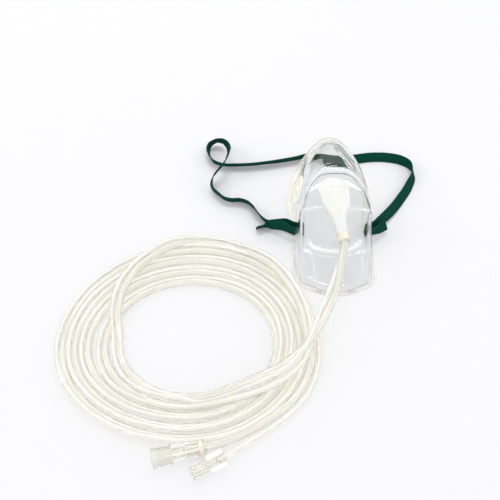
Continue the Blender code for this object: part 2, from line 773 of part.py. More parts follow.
def make_leads(matrix, collection, material):
    """The oxygen tube and the sampling line from the connector over the coil and into its hole."""
    route = socket_route(matrix, TUBE_ABOVE_FACET, TUBE_SOCKET) + list(LEAD_ROUTE)
    tube = smooth_route(route, 2.6 * TUBE)
    add_cord("oxygen_tube_lead", tube, TUBE, 3, collection, material)
    fine = smooth_route(route, 3.0 * LINE)
    apart = TUBE_ABOVE_FACET - line_below_tube()
    turns = ((0.0, -90.0), (22.0, -80.0), (55.0, 0.0), (85.0, 60.0), (110.0, 100.0), (500.0, 100.0))
    line = beside(fine, apart, turns)
    line[:3] = socket_route(matrix, line_below_tube(), TUBE_SOCKET)
    add_cord("sampling_line_lead", line, LINE, 2, collection, material)


def make_coil(collection, material):
    """The coil as the ring that its turns fill, with rounded edges."""
    curve = bpy.data.curves.new("tubing_coil", "CURVE")
    curve.dimensions = "2D"
    curve.fill_mode = "BOTH"
    curve.extrude = (COIL_HEIGHT / 2 - COIL_ROUND) * MM
    curve.bevel_depth = COIL_ROUND * MM
    curve.bevel_resolution = 1
    curve.offset = -COIL_ROUND * MM
    for centre, radii, steps in ((COIL_CENTRE, COIL_RADII, 40), (COIL_HOLE_CENTRE, COIL_HOLE_RADII, 32)):
        spline = curve.splines.new("POLY")
        spline.points.add(steps - 1)
        spline.use_cyclic_u = True
        for k in range(steps):
            angle = 2 * math.pi * k / steps
            x = centre[0] + radii[0] * math.cos(angle)
            y = centre[1] + radii[1] * math.sin(angle)
            spline.points[k].co = (x * MM, y * MM, 0.0, 1.0)
    curve.materials.append(material)
    item = bpy.data.objects.new("tubing_coil", curve)
    item.location = (0.0, 0.0, (COIL_HEIGHT / 2 + FREE_TUBE_LIFT) * MM)
    collection.objects.link(item)
    return item


def end_frame(route, heading):
    """A matrix at the end of a tail's route, whose Z points on along the connector."""
    return frame_at(route[-1], heading, (0.0, 0.0, 1.0))


def make_tail(name, route, heading, socket, diameter, resolution, collection, material):
    """A tail from the coil to the socket of its connector."""
    mouth = Vector(route[-1])
    ahead = Vector(heading).normalized()
    straight = [tuple(mouth + distance * ahead) for distance in (-4.0, 0.0, socket - GAP)]
    points = smooth_route(list(route[:-1]) + straight, 1.6 * diameter)
    add_cord(name, points, diameter, resolution, collection, material)


def funnel_profile():
    """Closed section of the oxygen connector, up its bore and down its outside."""
    length, socket = FUNNEL_LENGTH, FUNNEL_SOCKET
    bell = length - BELL_DEPTH
    bore = TUBE / 2 + SOCKET_CLEARANCE
    ring_end = 2.0 + FUNNEL_RING_LENGTH
    return (
        (bore, 0.0),
        (bore, socket),
        (FUNNEL_THROUGH, socket + 0.8),
        (FUNNEL_THROUGH, bell - 0.4),
        (BELL_THROAT, bell),
        (BELL_BORE, length),
        (BELL_RADIUS, length),
        (BELL_RADIUS, length - 3.0),
        (BELL_RADIUS - 0.9, bell + 1.4),
        (FUNNEL_COLLAR, bell + 1.2),
        (FUNNEL_COLLAR, bell - 0.2),
        (FUNNEL_BODY, bell - 0.4),
        (FUNNEL_SLEEVE, ring_end + 1.0),
        (FUNNEL_SLEEVE, ring_end),
        (FUNNEL_GROOVE, ring_end),
        (FUNNEL_GROOVE, 2.0),
        (FUNNEL_SLEEVE, 2.0),
        (FUNNEL_SLEEVE, 0.3),
        (FUNNEL_SLEEVE - 0.3, 0.0),
    )


def make_funnel(matrix, collection, body, yellow):
    points, faces = turned(funnel_profile())
    add_mesh("funnel_connector", placed(matrix, points), faces, collection, body)
    low = 2.0 + GAP
    high = 2.0 + FUNNEL_RING_LENGTH - GAP
    inner = FUNNEL_GROOVE + GAP
    outer = FUNNEL_SLEEVE + 0.5
    section = (
        (inner, low),
        (inner, high),
        (outer - 0.25, high),
        (outer, high - 0.25),
        (outer, low + 0.25),
        (outer - 0.25, low),
    )
    points, faces = turned(section)
    add_mesh("funnel_ring", placed(matrix, points), faces, collection, yellow)


def luer_profile():
    """Closed section of the Luer lock: tube socket, through bore, tapered nozzle and threaded collar."""
    collar = LUER_LENGTH - LUER_COLLAR_LENGTH
    bore = LINE / 2 + SOCKET_CLEARANCE
    return (
        (bore, 0.0),
        (bore, TUBE_SOCKET),
        (LUER_THROUGH, TUBE_SOCKET + 0.6),
        (LUER_THROUGH, LUER_LENGTH + 0.8),
        (LUER_NOZZLE - 0.25, LUER_LENGTH + 0.8),
        (LUER_NOZZLE, collar + 2.0),
        (LUER_COLLAR_BORE, collar + 2.0),
        (LUER_COLLAR_BORE, LUER_LENGTH),
        (LUER_COLLAR - 0.2, LUER_LENGTH),
        (LUER_COLLAR, LUER_LENGTH - 0.3),
        (LUER_COLLAR, collar + 0.4),
        (LUER_COLLAR - 0.6, collar),
        (LUER_BODY, collar - 0.8),
        (LUER_BODY, 0.3),
        (LUER_BODY - 0.3, 0.0),
    )


def make_luer(matrix, collection, cutters, material):
    """The Luer lock with its grip ribs and its two wings."""
    points, faces = turned(luer_profile())
    item = add_mesh("luer_connector", placed(matrix, points), faces, collection, material)
    collar = LUER_LENGTH - LUER_COLLAR_LENGTH
    bars = []
    for k in range(LUER_GRIPS):
        turn = Matrix.Rotation(2 * math.pi * (k + 0.5) / LUER_GRIPS, 4, "Z")
        low = (LUER_COLLAR_BORE + 0.3, -0.4, collar + 1.0)
        high = (LUER_COLLAR + LUER_GRIP, 0.4, LUER_LENGTH - 1.0)
        more, sides = box(low, high)
        bars.append((placed(turn, more), sides))
    inner = LINE / 2 + SOCKET_CLEARANCE + 0.4
    half = WING_THICKNESS / 2
    for reach in ((-WING_SPAN / 2, -inner), (inner, WING_SPAN / 2)):
        bars.append(box((reach[0], -half, WING_START), (reach[1], half, WING_START + WING_LENGTH)))
    points, faces = joined(bars)
    boolean(item, add_cutter("luer_grips", placed(matrix, points), faces, cutters), "UNION")
    return item


def slot_run(tree, side):
    """The strap's stretch round the bar of one side, from outside the front slot to outside the rear one."""
    middle = (SLOT_FRONT_Y + SLOT_REAR_Y) / 2
    wall = tree.ray_cast(Vector((side * CAST_REACH, middle, SLOT_Z)), Vector((-side, 0.0, 0.0)))[0].x * side
    inside = wall - WALL - GAP - STRAP_THICKNESS / 2 - 0.85
    run = (
        (wall + 1.9, SLOT_FRONT_Y + 0.7),
        (wall + 0.4, SLOT_FRONT_Y),
        (wall - WALL - 0.3, SLOT_FRONT_Y),
        (inside, SLOT_FRONT_Y + 1.4),
        (inside, middle),
        (inside, SLOT_REAR_Y - 1.4),
        (wall - WALL - 0.3, SLOT_REAR_Y),
        (wall + 0.4, SLOT_REAR_Y),
        (wall + 1.9, SLOT_REAR_Y + 0.7),
    )
    return [(side * x, y, SLOT_Z, 0.0, 0.0) for x, y in run]


def slot_cutter(tree, side, cutters):
    """The two slots of one side."""
    half = SLOT_WIDTH / 2
    tall = STRAP_HEIGHT / 2 + SLOT_MARGIN
    parts = []
    for y in (SLOT_FRONT_Y, SLOT_REAR_Y):
        hit = tree.ray_cast(Vector((side * CAST_REACH, y, SLOT_Z)), Vector((-side, 0.0, 0.0)))[0]
        parts.append(box((hit.x - 4.0, y - half, SLOT_Z - tall), (hit.x + 4.0, y + half, SLOT_Z + tall)))
    points, faces = joined(parts)
    name = "slots_right" if side > 0 else "slots_left"
    return add_cutter(name, points, faces, cutters)


def strap_points(tree):
    """The strap's middle line, from the end of its short tail to the end of its long one."""
    right = slot_run(tree, 1)
    left = slot_run(tree, -1)
    route = list(STRAP_TAIL_RIGHT) + right + list(STRAP_RIGHT) + left[::-1] + list(STRAP_TAIL_LEFT)
    return smooth_route(route, STRAP_STEP)


def make_strap(tree, collection, material):
    """The elastic strap as one ribbon on its edge, which leans as it runs and never dips under the table."""
    run = strap_points(tree)
    points = run[:, :3]
    ahead = np.gradient(points, axis=0)
    ahead /= np.linalg.norm(ahead, axis=1)[:, None]
    rise = np.concatenate([run[:, 3:], np.ones((len(run), 1))], axis=1)
    rise -= (rise * ahead).sum(axis=1)[:, None] * ahead
    rise *= STRAP_HEIGHT / 2 / np.linalg.norm(rise, axis=1)[:, None]
    side = np.cross(ahead, rise)
    side *= STRAP_THICKNESS / 2 / np.linalg.norm(side, axis=1)[:, None]
    points[:, 2] = np.maximum(points[:, 2], rise[:, 2] + np.abs(side[:, 2]) + STRAP_CLEAR)
    rings = [[p + s - r, p - s - r, p - s + r, p + s + r] for p, s, r in zip(points, side, rise)]
    mesh_points, faces = loft(rings)
    return add_mesh("head_strap", mesh_points, faces, collection, material)


def main():
    clear_scene()
    collection = new_collection("oxygen_face_mask")
    cutters = new_collection("oxygen_face_mask_cutters")
    cutters.hide_render = True
    clear_pvc = plastic("clear_shell", (0.86, 0.89, 0.9), 0.08)
    soft_pvc = plastic("soft_seal", (0.93, 0.91, 0.82), 0.25)
    silicone = plastic("vent_silicone", (0.94, 0.92, 0.84), 0.45)
    milky = plastic("milky_connector", (0.93, 0.94, 0.93), 0.3)
    yellow = plastic("yellow_ring", (0.93, 0.85, 0.45), 0.35)
    tubing = plastic("clear_tubing", (0.93, 0.93, 0.87), 0.15)
    elastic = plastic("green_elastic", (0.02, 0.19, 0.13), 0.85)
    styrene = plastic("clear_styrene", (0.88, 0.9, 0.88), 0.1)

    grid, lips = shell_grid()
    tree = shell_tree(grid)
    shell = make_shell(grid, lips, collection, clear_pvc)
    make_seal(grid, lips, collection, soft_pvc)
    port = port_frame(tree)
    low = -WALL - 8.0
    points, faces = rod(PORT_RADIUS, low, 4.0)
    boolean(shell, add_cutter("port_hole", placed(port, points), faces, cutters), "DIFFERENCE")
    for name, side in (("left", -1), ("right", 1)):
        vent = vent_frame(tree, side)
        make_vent(f"exhalation_vent_{name}", vent, tree, collection, silicone)
        boolean(shell, vent_cutter(f"vent_holes_{name}", vent, cutters), "DIFFERENCE")
        boolean(shell, slot_cutter(tree, side, cutters), "DIFFERENCE")
    make_connector(port, collection, cutters, milky)
    make_connector_ring(port, collection, yellow)
    make_leads(port, collection, tubing)
    make_coil(collection, tubing)
    tube_end = (TAIL_TUBE_ROUTE, FUNNEL_HEADING)
    line_end = (TAIL_LINE_ROUTE, LUER_HEADING)
    make_tail("oxygen_tube_tail", *tube_end, FUNNEL_SOCKET, TUBE, 3, collection, tubing)
    make_tail("sampling_line_tail", *line_end, TUBE_SOCKET, LINE, 2, collection, tubing)
    make_funnel(end_frame(*tube_end), collection, styrene, yellow)
    make_luer(end_frame(*line_end), collection, cutters, styrene)
    make_strap(tree, collection, elastic)


main()
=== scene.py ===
"""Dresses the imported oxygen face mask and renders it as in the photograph.

Sizes and tables are in millimetres of the CAD's frame: +Y along the mask towards its nose, +X to the right
of the photograph, z = 0 on the table. Meshes are made in metres. A size that one piece alone has is a field
of its class, and one that several pieces share is named here.
"""

from __future__ import annotations

import logging
import math
from collections.abc import Sequence
from dataclasses import dataclass
from enum import Enum

import bpy
import numpy as np
from mathutils import Matrix, Vector
from mathutils.bvhtree import BVHTree


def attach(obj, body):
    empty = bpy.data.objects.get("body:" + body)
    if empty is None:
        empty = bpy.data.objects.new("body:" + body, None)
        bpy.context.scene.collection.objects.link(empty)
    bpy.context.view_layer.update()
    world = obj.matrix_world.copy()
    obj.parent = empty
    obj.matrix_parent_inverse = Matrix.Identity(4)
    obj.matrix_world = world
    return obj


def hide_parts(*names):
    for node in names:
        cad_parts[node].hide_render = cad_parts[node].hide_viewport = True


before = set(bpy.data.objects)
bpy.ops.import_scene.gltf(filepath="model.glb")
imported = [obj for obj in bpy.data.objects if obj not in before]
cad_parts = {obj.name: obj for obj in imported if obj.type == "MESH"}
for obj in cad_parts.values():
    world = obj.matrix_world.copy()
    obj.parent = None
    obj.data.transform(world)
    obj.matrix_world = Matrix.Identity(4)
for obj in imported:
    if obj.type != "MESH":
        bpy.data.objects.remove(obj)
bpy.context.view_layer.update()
LOG = logging.getLogger("mask")
MM = 0.001
UP = (0.0, 0.0, 1.0)
WHITE = (1.0, 1.0, 1.0, 1.0)
# A per-point share of painted highlight lines on clear plastic.
HIGHLIGHT_ATTRIBUTE = "painted_highlight_line"

Triple = tuple[float, float, float]
Body = tuple[np.ndarray, list]

# The camera, fitted to the photograph: 629 pixels of focal length on 500 pixels, 50 degrees below level.
SENSOR_MM = 36.0
FOCAL_SHARE = 629.0 / 500.0
CAMERA_AT = (-65.7, -315.1, 432.0)
CAMERA_PITCH = math.radians(50.0)
CAMERA_TURN = math.radians(1.2)

GAP = 0.3
WALL = 1.2
SKIRT = 1.5
SEAL_THICKNESS = 1.4
RIM_LIFT = SEAL_THICKNESS + GAP + SKIRT
SHELL_STEP = 0.8
VENT_Y = 88.0
VENT_Z = 36.0
STUD_RADIUS = 1.4
PORT_X = -2.7
PORT_Y = 70.5
PORT_RADIUS = 6.0
CONNECTOR_YAW = math.radians(9.0)
# Rays that look for a place on the shell start clear of it, beside it or above it.
BESIDE = 80.0
ABOVE = 120.0

TUBE = 6.8
TUBE_BORE = 4.6
LINE = 3.8
LINE_BORE = 1.8
SOCKET_CLEARANCE = 0.25
TUBE_SOCKET = 7.0
FUNNEL_SOCKET = 15.0

STRAP_HEIGHT = 9.5
STRAP_THICKNESS = 1.0
SLOT_Z = 10.5
SLOT_FRONT_Y = 60.7
SLOT_REAR_Y = 68.0

# Shares of a section's half-width, drop and bow at four points from its middle to its shoulder.
CROWN_SHARES = ((0.0, 0.0, 0.0), (0.36, 0.06, 0.12), (0.68, 0.36, 0.5), (1.0, 1.0, 1.0))
WALL_RAKE = 0.45


@dataclass(frozen=True)
class Section:
    """One cross-section of the shell's right half, with heights above the rim's level.

    Args:
        y: Its place along the mask.
        top: Height of its middle.
        bow: How far its shoulder lies nearer the chin than its middle.
        shoulder_x: Half-width at the shoulder.
        shoulder_z: Height of the shoulder.
        wall_x: Half-width half-way down the wall.
        wall_z: Height there.
        rake: How far its rim lies nearer the nose than its middle.
        rim_x: Half-width at the rim.
        rim_z: Height of the rim.
        lip: Width of the seal outside the rim.
    """

    y: float
    top: float
    bow: float
    shoulder_x: float
    shoulder_z: float
    wall_x: float
    wall_z: float
    rake: float
    rim_x: float
    rim_z: float
    lip: float

    def points(self) -> list[Triple]:
        """Its six points: a crown that bows and falls to the shoulder, the wall's middle and the rim."""
        drop = self.top - self.shoulder_z
        crown = [
            (across * self.shoulder_x, self.y - bow * self.bow, self.top - fall * drop)
            for across, fall, bow in CROWN_SHARES
        ]
        wall_y = self.y - self.bow + WALL_RAKE * (self.rake + self.bow)
        return [*crown, (self.wall_x, wall_y, self.wall_z), (self.rim_x, self.y + self.rake, self.rim_z)]


SECTIONS = (
    Section(0.5, 0.0, -8.5, 27.0, 0.0, 31.5, 0.0, 23.5, 34.0, 0.0, 3.0),
    Section(3.5, 3.0, -8.0, 26.5, 3.5, 31.5, 3.0, 23.5, 34.3, 0.0, 2.4),
    Section(19.0, 9.6, -4.0, 26.8, 10.0, 32.2, 6.5, 14.0, 34.5, 0.0, 2.2),
    Section(29.8, 15.3, -2.7, 27.4, 15.6, 33.0, 8.3, 5.6, 34.8, 0.0, 2.0),
    Section(31.2, 16.2, -2.5, 27.5, 16.5, 33.0, 8.7, 5.2, 34.8, 0.0, 2.0),
    Section(36.0, 17.2, -1.6, 28.0, 18.4, 33.2, 10.3, 5.0, 35.0, 0.0, 2.0),
    Section(37.4, 18.7, -1.4, 28.0, 19.9, 33.2, 10.8, 5.0, 35.0, 0.0, 2.0),
    Section(47.0, 30.5, 0.3, 28.3, 29.3, 32.8, 15.0, 5.0, 34.8, 0.0, 2.0),
    Section(55.6, 41.2, 2.0, 28.1, 40.0, 32.0, 20.3, 5.6, 33.6, 0.0, 1.9),
    Section(57.3, 43.0, 3.0, 28.0, 41.8, 31.8, 21.0, 5.8, 33.3, 0.0, 1.9),
    Section(59.5, 43.9, 3.3, 27.8, 42.8, 31.6, 21.6, 6.4, 33.0, 0.0, 1.9),
    Section(67.0, 46.4, 5.0, 26.6, 44.6, 31.3, 23.0, 8.0, 32.5, 0.0, 2.0),
    Section(77.0, 49.6, 9.0, 25.4, 46.8, 31.8, 25.0, 8.5, 33.3, 0.2, 2.8),
    Section(88.0, 52.6, 14.5, 23.8, 48.0, 32.4, 25.0, 4.5, 35.0, 0.8, 3.8),
    Section(91.5, 56.1, 13.5, 24.4, 50.2, 32.2, 26.0, 8.0, 35.6, 1.8, 4.2),
    Section(107.0, 55.8, 2.0, 22.5, 48.0, 29.8, 28.5, 4.0, 34.8, 4.6, 4.4),
    Section(122.0, 53.2, -0.5, 18.0, 45.8, 24.7, 30.5, 3.0, 30.5, 13.4, 4.5),
    Section(135.5, 49.0, 0.0, 13.0, 43.5, 17.8, 36.0, 0.5, 22.0, 26.0, 4.4),
    Section(147.5, 41.2, 2.6, 9.4, 38.6, 12.0, 37.0, -4.8, 14.2, 35.0, 4.3),
)

# The middle lines of the lead, of the crossing, and of the two tails up to the mouths of their end pieces.
LEAD_ROUTE = (
    (3.1, 15.4, 36.0), (2.1, 6.0, 32.5), (0.2, -3.9, 28.5), (-2.9, -14.7, 24.0), (-7.3, -24.2, 20.0),
    (-12.3, -34.3, 17.9), (-19.2, -47.4, 17.4), (-26.7, -59.2, 17.4), (-37.0, -70.8, 17.4),
    (-47.6, -80.0, 17.4), (-61.7, -87.5, 16.8), (-76.9, -93.0, 13.8), (-92.0, -97.3, 8.0),
    (-105.0, -99.3, 4.5), (-118.0, -99.7, 3.4),
)
CROSSING_ROUTE = (
    (-174.1, -51.0, 3.4), (-178.3, -33.0, 6.0), (-179.3, -18.0, 9.8), (-177.6, -4.0, 10.4),
    (-172.8, 9.5, 10.4), (-165.6, 21.2, 10.4), (-155.0, 32.5, 10.4), (-140.5, 44.3, 9.6), (-118.0, 52.0, 3.4),
)
TAIL_TUBE_ROUTE = (
    (-21.6, -51.0, 3.5), (-23.0, -66.0, 3.5), (-27.6, -81.5, 3.5), (-34.5, -94.5, 3.5), (-45.9, -107.2, 3.5),
    (-61.2, -119.0, 3.6), (-76.1, -128.0, 3.8), (-89.3, -134.8, 5.4), (-100.1, -138.8, 7.6),
)
TAIL_LINE_ROUTE = (
    (-16.2, -51.0, 2.1), (-17.4, -67.5, 2.1), (-22.0, -83.8, 2.1), (-29.3, -97.8, 2.1), (-40.7, -110.6, 2.1),
    (-55.4, -122.6, 2.2), (-69.6, -132.4, 3.0), (-79.3, -139.8, 4.2), (-86.0, -144.6, 5.4),
)
FUNNEL_HEADING = (-0.966, -0.246, 0.0)
LUER_HEADING = (-0.875, -0.484, 0.0)

# The strap's route, each point with the sideways lean of its upper edge for 1 of height.
STRAP_RIGHT = (
    (36.6, 70.2, 10.3, 0.0, 0.0), (44.0, 76.5, 9.0, -0.45, 0.35), (54.0, 88.7, 6.0, -0.9, 0.65),
    (68.3, 109.8, 3.4, -0.96, 0.7), (79.6, 129.1, 3.4, -0.9, 0.55), (86.0, 146.2, 4.4, -0.4, 0.1),
    (83.7, 157.8, 4.8, 0.0, 0.25), (75.6, 165.0, 4.4, 0.0, 0.6), (61.0, 169.2, 3.9, 0.0, 0.84),
    (45.8, 168.9, 3.9, 0.0, 0.84), (28.3, 165.5, 3.9, 0.0, 0.84), (10.0, 163.7, 4.6, 0.0, 0.3),
    (-6.9, 167.8, 4.9, 0.0, -0.1), (-18.0, 168.6, 5.0, 0.0, -0.35), (-30.3, 164.7, 5.0, 0.0, -0.48),
    (-45.5, 160.6, 5.0, 0.0, -0.52), (-60.6, 157.3, 5.0, 0.0, -0.6), (-75.5, 154.9, 4.9, 0.0, -0.62),
    (-90.5, 153.8, 4.9, 0.0, -0.62), (-103.6, 154.3, 4.9, 0.0, -0.6), (-111.8, 158.6, 4.9, -0.1, -0.5),
    (-116.8, 166.7, 4.9, -0.25, -0.4), (-118.6, 175.5, 5.2, -0.3, -0.3), (-116.4, 183.7, 6.0, -0.2, -0.45),
    (-111.3, 187.0, 7.5, 0.0, -0.5), (-105.8, 185.0, 9.0, 0.1, -0.5), (-100.5, 178.6, 11.0, 0.25, -0.4),
    (-97.2, 168.5, 13.0, 0.35, -0.3), (-97.8, 156.5, 14.8, 0.4, -0.2), (-100.8, 145.6, 14.8, 0.4, -0.1),
    (-106.3, 137.4, 13.0, 0.4, -0.2), (-111.0, 131.2, 9.5, 0.35, -0.2), (-112.3, 126.8, 7.0, 0.3, -0.3),
    (-110.6, 120.4, 5.2, 0.1, -0.45), (-104.4, 112.6, 4.9, 0.0, -0.5), (-98.3, 106.7, 4.9, 0.0, -0.5),
    (-92.5, 104.8, 4.9, 0.0, -0.45), (-84.0, 105.0, 4.9, 0.0, -0.45), (-77.3, 102.5, 4.9, 0.0, -0.5),
    (-71.5, 96.7, 4.9, -0.1, -0.5), (-66.7, 88.5, 4.9, -0.2, -0.5), (-62.5, 81.8, 4.9, -0.1, -0.5),
    (-57.5, 77.2, 4.9, 0.0, -0.4), (-50.5, 74.8, 5.6, 0.0, 0.2), (-44.0, 73.0, 8.0, 0.0, 0.4),
    (-40.0, 71.8, 9.8, 0.0, 0.2), (-36.8, 70.2, 10.3, 0.0, 0.0),
)
STRAP_TAIL_RIGHT = (
    (50.0, 73.2, 8.0, -0.6, 0.45), (43.0, 66.8, 9.3, -0.3, 0.2), (37.2, 63.2, 10.3, 0.0, 0.0),
)
STRAP_TAIL_LEFT = (
    (-37.4, 63.2, 10.3, 0.0, 0.0), (-43.0, 67.0, 10.6, 0.0, 0.35), (-50.0, 70.3, 9.4, 0.0, 0.65),
    (-55.5, 72.0, 6.8, 0.0, 0.2), (-60.5, 72.2, 5.0, 0.0, -0.5), (-67.8, 70.0, 4.6, 0.0, -0.62),
)


class Side(Enum):
    """The four sides of the coil, clockwise from the viewer's, with the turn of each round its centre."""

    BOTTOM = -90
    LEFT = -180
    TOP = -270
    RIGHT = -360


@dataclass(frozen=True)
class Berth:
    """Where one pass of the tubing lies at a side of the coil.

    Args:
        reach: Distance of the tube's middle from the coil's centre.
        line: Distance of the sampling line's middle outwards from the tube's.
        z: Height of the tube's middle.
    """

    reach: float
    line: float
    z: float = TUBE / 2


COIL_CENTRE = (-118.0, -51.0)
BERTHS = {
    Side.BOTTOM: (Berth(48.7, 2.8), Berth(56.8, 1.9), Berth(63.9, 3.2), Berth(72.4, 3.0), Berth(80.7, 3.1)),
    Side.LEFT: (Berth(56.1, 5.5), Berth(68.0, 5.6), Berth(81.4, 5.1), Berth(91.9, 4.2), Berth(101.4, 3.7)),
    Side.TOP: (Berth(59.6, 5.3), Berth(70.2, 5.6), Berth(82.4, 5.6), Berth(93.7, 4.0), Berth(103.0, 3.1)),
    Side.RIGHT: (
        Berth(68.3, 3.2), Berth(76.7, 3.2), Berth(86.2, 4.4), Berth(96.4, 5.3), Berth(91.5, 3.6, 10.6),
    ),
}
# The berth that each turn takes at the bottom, left, top and right. The first starts at the foot of the lead.
TURNS = ((0, 0, 4, 4), (1, 1, 0, 0), (2, 2, 1, 1), (3, 3, 2, 2), (4, 4, 3, 3))
# The first turn's second quarter crosses over the others.
CROSSING_AT = (0, 1)
# Shares of a quarter over which the tube climbs, or comes down.
CLIMB = (0.2, 0.55)
DESCENT = (0.72, 1.0)
# Distance of the two middle lines where the tube and the line touch.
TOUCHING = (TUBE + LINE) / 2 + 0.05
# Degrees that the line has turned round the tube, at distances down the lead.
LINE_TURNS = ((0.0, -90.0), (22.0, -80.0), (55.0, 0.0), (90.0, 70.0), (130.0, 150.0), (200.0, 165.0))
TUBE_STEP = 2.4
FINE_STEP = 1.5
# Points over which the joints of a route are softened, and those that a tail takes the place of.
SOFTEN = 3
TAIL_JOIN = 8


def linear(value: str) -> tuple[float, float, float, float]:
    """Turns an sRGB hex colour into linear values.

    Args:
        value: Six hex digits with or without a leading #.

    Returns:
        Red, green, blue and an alpha of 1.
    """
    digits = value.lstrip("#")
    shares = [int(digits[i : i + 2], 16) / 255 for i in (0, 2, 4)]
    levels = [s / 12.92 if s <= 0.04045 else ((s + 0.055) / 1.055) ** 2.4 for s in shares]
    return (*levels, 1.0)


class Shader:
    """The nodes of one material or of the world."""

    def __init__(self, owner: bpy.types.ID) -> None:
        """Empties the node tree of a material or a world."""
        owner.use_nodes = True
        self.owner = owner
        self.tree = owner.node_tree
        self.tree.nodes.clear()

    @classmethod
    def of_material(cls, name: str) -> Shader:
        """Starts a new material."""
        return cls(bpy.data.materials.new(name))

    def node(self, kind: str, settings: dict | None = None, **sockets: object) -> bpy.types.Node:
        """Adds a node.

        Args:
            kind: The node's type without its ShaderNode prefix.
            settings: Properties to set on it.
            **sockets: Values or sockets for its inputs, by name with _ for a space, or at0, at1 for a place.

        Returns:
            The node.
        """
        made = self.tree.nodes.new("ShaderNode" + kind)
        for key, value in (settings or {}).items():
            setattr(made, key, value)
        for key, value in sockets.items():
            place = int(key[2:]) if key.startswith("at") and key[2:].isdigit() else key.replace("_", " ")
            socket = made.inputs[place]
            if isinstance(value, bpy.types.NodeSocket):
                self.tree.links.new(value, socket)
            else:
                socket.default_value = value
        return made

    def maths(self, operation: str, *values: object) -> bpy.types.NodeSocket:
        """The result of a Math node.

        Args:
            operation: What it does.
            *values: Numbers or sockets for its inputs, in order.

        Returns:
            Its output.
        """
        sockets = {f"at{place}": value for place, value in enumerate(values)}
        return self.node("Math", {"operation": operation}, **sockets).outputs[0]

    def between(self, share: bpy.types.NodeSocket, first: str, second: str) -> bpy.types.NodeSocket:
        """A colour that goes from one hex value to another with a share."""
        mix = self.node("MixRGB", Fac=share, Color1=linear(first), Color2=linear(second))
        return mix.outputs["Color"]

    def noise(self, size_mm: float, detail: float) -> bpy.types.NodeSocket:
        """Cloudy noise of a size in millimetres, fixed to the object."""
        where = self.node("TexCoord").outputs["Object"]
        noise = self.node("TexNoise", Vector=where, Scale=1.0 / (size_mm * MM), Detail=detail)
        return noise.outputs["Fac"]

    def bump(self, height: bpy.types.NodeSocket, strength: float, depth_mm: float) -> bpy.types.NodeSocket:
        """A normal that follows a height."""
        bump = self.node("Bump", Height=height, Strength=strength, Distance=depth_mm * MM)
        return bump.outputs["Normal"]

    def lit_through(self, surface: bpy.types.NodeSocket, share: Sequence[float]) -> bpy.types.NodeSocket:
        """Lets light through a surface, so that what lies under clear plastic is lit.

        Args:
            surface: The surface that the camera, mirrors and glass see.
            share: Red, green and blue shares that its shadow and its scattered light let through.

        Returns:
            The surface, see-through to shadow rays and diffuse rays.
        """
        rays = self.node("LightPath").outputs
        light = self.maths("MAXIMUM", rays["Is Shadow Ray"], rays["Is Diffuse Ray"])
        clear = self.node("BsdfTransparent", Color=(*share, 1.0))
        return self.node("MixShader", Fac=light, at1=surface, at2=clear.outputs["BSDF"]).outputs["Shader"]

    def finish(self, surface: bpy.types.NodeSocket) -> bpy.types.Material:
        """Joins the surface to the output and returns the material."""
        self.node("OutputMaterial", Surface=surface)
        return self.owner


@dataclass(frozen=True)
class ClearFinish:
    """A clear moulded plastic.

    Args:
        name: The material's name.
        tint: Its colour in sRGB hex.
        roughness: Of its surface.
        shadow: Share of light that its shadow lets through.
        ripple_mm: Size of the ripples that moulding leaves.
        ripple: Their strength.
        clear: Share that refracts.
        painted_highlights: Whether it has painted highlight lines, by the mesh's painted_highlight_line
            attribute: less clear and whiter there.
    """

    name: str
    tint: str
    roughness: float
    shadow: float
    ripple_mm: float
    ripple: float
    clear: float = 1.0
    painted_highlights: bool = False

    def build(self) -> bpy.types.Material:
        """Refracting plastic whose shadow is light, with painted highlight lines: less clear and whiter along
        its ridges and ribs.
        """
        shader = Shader.of_material(self.name)
        clear = self.clear
        if self.painted_highlights:
            # Painted highlight: the attribute takes refraction away, so that the white base colour shows
            # along the lines.
            line = shader.node("Attribute", {"attribute_name": HIGHLIGHT_ATTRIBUTE}).outputs["Fac"]
            clear = shader.maths("SUBTRACT", self.clear, line)
        glass = shader.node(
            "BsdfPrincipled",
            Base_Color=linear(self.tint),
            Roughness=self.roughness,
            IOR=1.5,
            Transmission_Weight=clear,
            Normal=shader.bump(shader.noise(self.ripple_mm, 2.0), self.ripple, 0.1),
        )
        return shader.finish(shader.lit_through(glass.outputs["BSDF"], (self.shadow,) * 3))


@dataclass(frozen=True)
class MilkyFinish:
    """A translucent plastic or rubber that scatters the light inside it.

    Args:
        name: The material's name.
        tint: Its colour in sRGB hex.
        shade: Its colour where the moulding is thicker.
        roughness: Of its surface.
        clear: Share that refracts.
        depth_mm: How far light spreads in it.
        mottle_mm: Size of its cloudy patches.
        shadow: Share of light that its shadow lets through at each surface.
    """

    name: str
    tint: str
    shade: str
    roughness: float
    clear: float
    depth_mm: float
    mottle_mm: float
    shadow: float

    def build(self) -> bpy.types.Material:
        """Cloudy colour with soft scattering and a slightly uneven surface."""
        shader = Shader.of_material(self.name)
        noise = shader.noise(self.mottle_mm, 3.0)
        body = shader.node(
            "BsdfPrincipled",
            Base_Color=shader.between(noise, self.tint, self.shade),
            Roughness=self.roughness,
            IOR=1.45,
            Transmission_Weight=self.clear,
            Subsurface_Weight=0.6,
            Subsurface_Scale=self.depth_mm * MM,
            Subsurface_Radius=(1.0, 0.95, 0.8),
            Normal=shader.bump(noise, 0.15, 0.1),
        )
        return shader.finish(shader.lit_through(body.outputs["BSDF"], (self.shadow,) * 3))


